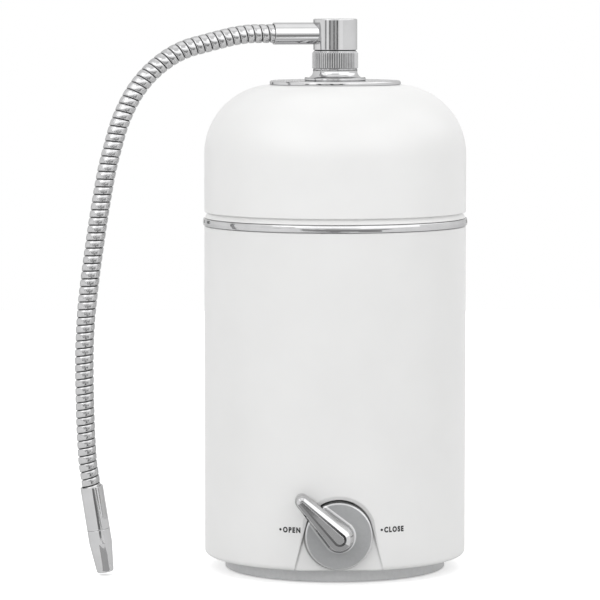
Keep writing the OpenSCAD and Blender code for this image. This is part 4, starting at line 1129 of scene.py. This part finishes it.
# Ceramic discs: two lapped plates with a pair of ports each, one fixed and one turned by
# the spindle. They slide on a film of water, so a hair of room lies between their faces.
water_film = 0.00002
meeting_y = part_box("fixed_ceramic_disc")[0][1]
for node, body, side_sign in [
    ("moving_ceramic_disc", "tap", -1),
    ("fixed_ceramic_disc", "base_unit", 1),
]:
    plate_mesh = frame["nodes"][node].data.copy()
    weld(plate_mesh)
    spots = np.empty(3 * len(plate_mesh.vertices))
    plate_mesh.vertices.foreach_get("co", spots)
    spots = spots.reshape(-1, 3)
    spots[:, 1] += side_sign * water_film * (np.abs(spots[:, 1] - meeting_y) < water_film)
    plate_mesh.vertices.foreach_set("co", spots.ravel())
    plate_mesh.materials.clear()
    place(added(f"{node}_lapped", plate_mesh), body, "ceramic", slot_finishes["ceramic"], node)

# Studio: a pale floor in a white room, brighter overhead, with three soft lamps. Rays from
# the camera and from polished pieces see the room as plain white. Cards that only polished
# pieces see stand where such a studio has its soft boxes, and its dark side at the camera.
floor_half = 1.6
floor_tint = 0.78
floor_lift = {"Is Camera Ray": 0.5, "Is Glossy Ray": 0.13, "Is Transmission Ray": 0.13}
floor_mesh = bpy.data.meshes.new("studio_floor")
floor_corners = [
    (floor_half * x, floor_half * y, 0) for x, y in [(-1, -1), (1, -1), (1, 1), (-1, 1)]
]
floor_mesh.from_pydata(floor_corners, [], [(0, 1, 2, 3)])
floor = added("studio_floor", floor_mesh)


def seen_by(tree, levels):
    """Sum of the levels of those kinds of ray that are looking."""
    ray = add_node(tree, "LightPath")
    total = None
    for sort, level in levels.items():
        share = add_node(tree, "Math")
        share.operation = "MULTIPLY_ADD"
        share.inputs[1].default_value = level
        share.inputs[2].default_value = 0
        tree.links.new(ray.outputs[sort], share.inputs[0])
        if total:
            tree.links.new(total, share.inputs[2])
        total = share.outputs["Value"]
    return total


floor_finish = bpy.data.materials.new("studio_paper")
floor_finish.use_nodes = True
set_inputs(
    floor_finish.node_tree.nodes["Principled BSDF"],
    Base_Color=(floor_tint, floor_tint, floor_tint, 1),
    Roughness=0.9,
    Specular_IOR_Level=0.0,
    Emission_Color=(1, 1, 1, 1),
    Emission_Strength=seen_by(floor_finish.node_tree, floor_lift),
)
floor_mesh.materials.append(floor_finish)

room_side = 0.62
room_over = 1.1
room_lift = dict.fromkeys(floor_lift, 1)
world = bpy.data.worlds.new("studio_room")
scene.world = world
world.use_nodes = True
room_tree = world.node_tree
room_way = add_node(room_tree, "TexCoord")
room_axes = add_node(room_tree, "SeparateXYZ", Vector=room_way.outputs["Generated"])
room_rise = add_node(
    room_tree, "MapRange", Value=room_axes.outputs["Z"], To_Min=room_side, To_Max=room_over
)
room_strength = add_node(
    room_tree, "MapRange", Value=seen_by(room_tree, room_lift),
    To_Min=room_rise.outputs["Result"], To_Max=1.0,
)
set_inputs(
    room_tree.nodes["Background"],
    Color=(1, 1, 1, 1),
    Strength=room_strength.outputs["Result"],
)


def lamp(name, place_at, aim, size, power):
    """Soft square lamp that faces the aim."""
    light = bpy.data.lights.new(name, "AREA")
    light.size = size
    light.energy = power
    stand = added(name, light)
    stand.location = place_at
    way = np.array(aim) - np.array(place_at)
    stand.rotation_euler = (acos(-way[2] / np.linalg.norm(way)), 0, atan2(way[1], way[0]) - pi / 2)


def card(name, corners, level):
    """Flat card of one even brightness, seen by polished pieces alone."""
    mesh = bpy.data.meshes.new(name)
    mesh.from_pydata(corners, [], [tuple(range(len(corners)))])
    finish = bpy.data.materials.new(name)
    finish.use_nodes = True
    set_inputs(
        finish.node_tree.nodes["Principled BSDF"],
        Base_Color=(0, 0, 0, 1),
        Specular_IOR_Level=0.0,
        Emission_Color=(1, 1, 1, 1),
        Emission_Strength=level,
    )
    mesh.materials.append(finish)
    board = added(name, mesh)
    board.visible_camera = False
    board.visible_diffuse = False
    board.visible_shadow = False


def facing(azimuth, width, low, high, distance):
    """Corners of an upright board that faces the unit: azimuth and width in degrees, to
    the right of the front, low and high in metres."""
    left, right = radians(azimuth - width / 2), radians(azimuth + width / 2)
    reach = distance / cos(radians(width / 2))
    return [
        (reach * sin(turn), -reach * cos(turn), height)
        for turn, height in [(left, low), (right, low), (right, high), (left, high)]
    ]


body_middle = (0, 0, 0.15)
lamp("left_lamp", (-1.3, -1.4, 1.2), body_middle, size=1.2, power=8)
lamp("right_lamp", (1.3, -1.4, 1.2), body_middle, size=1.2, power=5)
lamp("top_lamp", (0, 0.1, 2.2), body_middle, size=1.6, power=2.5)
box_distance = 1.7
for name, azimuth, width, low, high, level in [
    ("right_box", 48, 56, 0.42, 2.6, 1.75),
    ("front_box", -8, 56, 0.5, 1.3, 1.75),
    ("side_box", 100, 50, 0.75, 2.6, 1.75),
    ("left_box", -66, 36, 0.8, 2.4, 1.5),
]:
    card(name, facing(azimuth, width, low, high, box_distance), level)
bar_distance = 2.5
bar_split = 0.17
bar_top = 0.32
dark_level = 0.22
for number, (azimuth, width) in enumerate([
    (-40, 2), (-27, 7), (-16.5, 3.5), (-2, 15), (161, 5), (176, 12), (200, 3), (215, 8)
]):
    card(f"dark_bar_{number}", facing(azimuth, width, 0, bar_split, bar_distance), dark_level)
for number, (azimuth, width, level) in enumerate([
    (-90, 56, 1.1), (-52, 7, 0.3), (-41.5, 9, 1.15), (-33.5, 3, 0.6), (-29.2, 5.6, 0.12),
    (-18.5, 15.8, 0.58), (-7.8, 5.6, 0.1), (0.5, 11, 0.56), (8.8, 5.6, 0.06), (13.6, 4, 0.6),
    (30, 18, 1.15), (161, 5, 0.3), (176, 12, 0.25), (200, 3, 0.3), (215, 8, 0.25),
]):
    card(f"high_bar_{number}", facing(azimuth, width, bar_split, bar_top, bar_distance), level)
# The small cards on the floor by the nozzle, the lever and the ferrule, and the pale card beside
# the body, stand for nothing in the room: they give those pieces and the nozzle's tip painted dark
# and pale reflections
card_lift = 0.002
for name, level, corners in [
    ("front_dark", 0.36, [(-0.9, -1.55), (1.5, -1.55), (0.62, -0.55), (-0.32, -0.55)]),
    ("nozzle_dark", dark_level, [
        (-0.122, -0.122), (-0.118, -0.25), (-0.05, -0.55), (0.04, -0.55),
        (-0.025, -0.255), (-0.055, -0.185), (-0.08, -0.149),
    ]),
    ("lever_dark", 0.5, [(-0.03, -0.2), (0.05, -0.2), (0.06, -0.36), (-0.04, -0.36)]),
    ("lever_side_dark", 0.45, [(-0.09, -0.074), (0.03, -0.078), (0.03, -0.14), (-0.09, -0.14)]),
    ("ferrule_dark", 0.35, [(0.111, -0.342), (0.222, -0.284), (0.42, -0.538), (0.204, -0.628)]),
    ("tip_dark", 0.5, [
        (-0.125, -0.034), (-0.129, -0.048), (-0.134, -0.067), (-0.079, -0.067),
        (-0.079, -0.058), (-0.094, -0.048), (-0.114, -0.034),
    ]),
]:
    card(name, [(x, y, card_lift) for x, y in corners], level)
tip_pale_level = 0.9
card("tip_pale", [
    (-0.088, -0.07, 0), (-0.088, 0.03, 0), (-0.088, 0.03, 0.03), (-0.088, -0.07, 0.03)
], tip_pale_level)
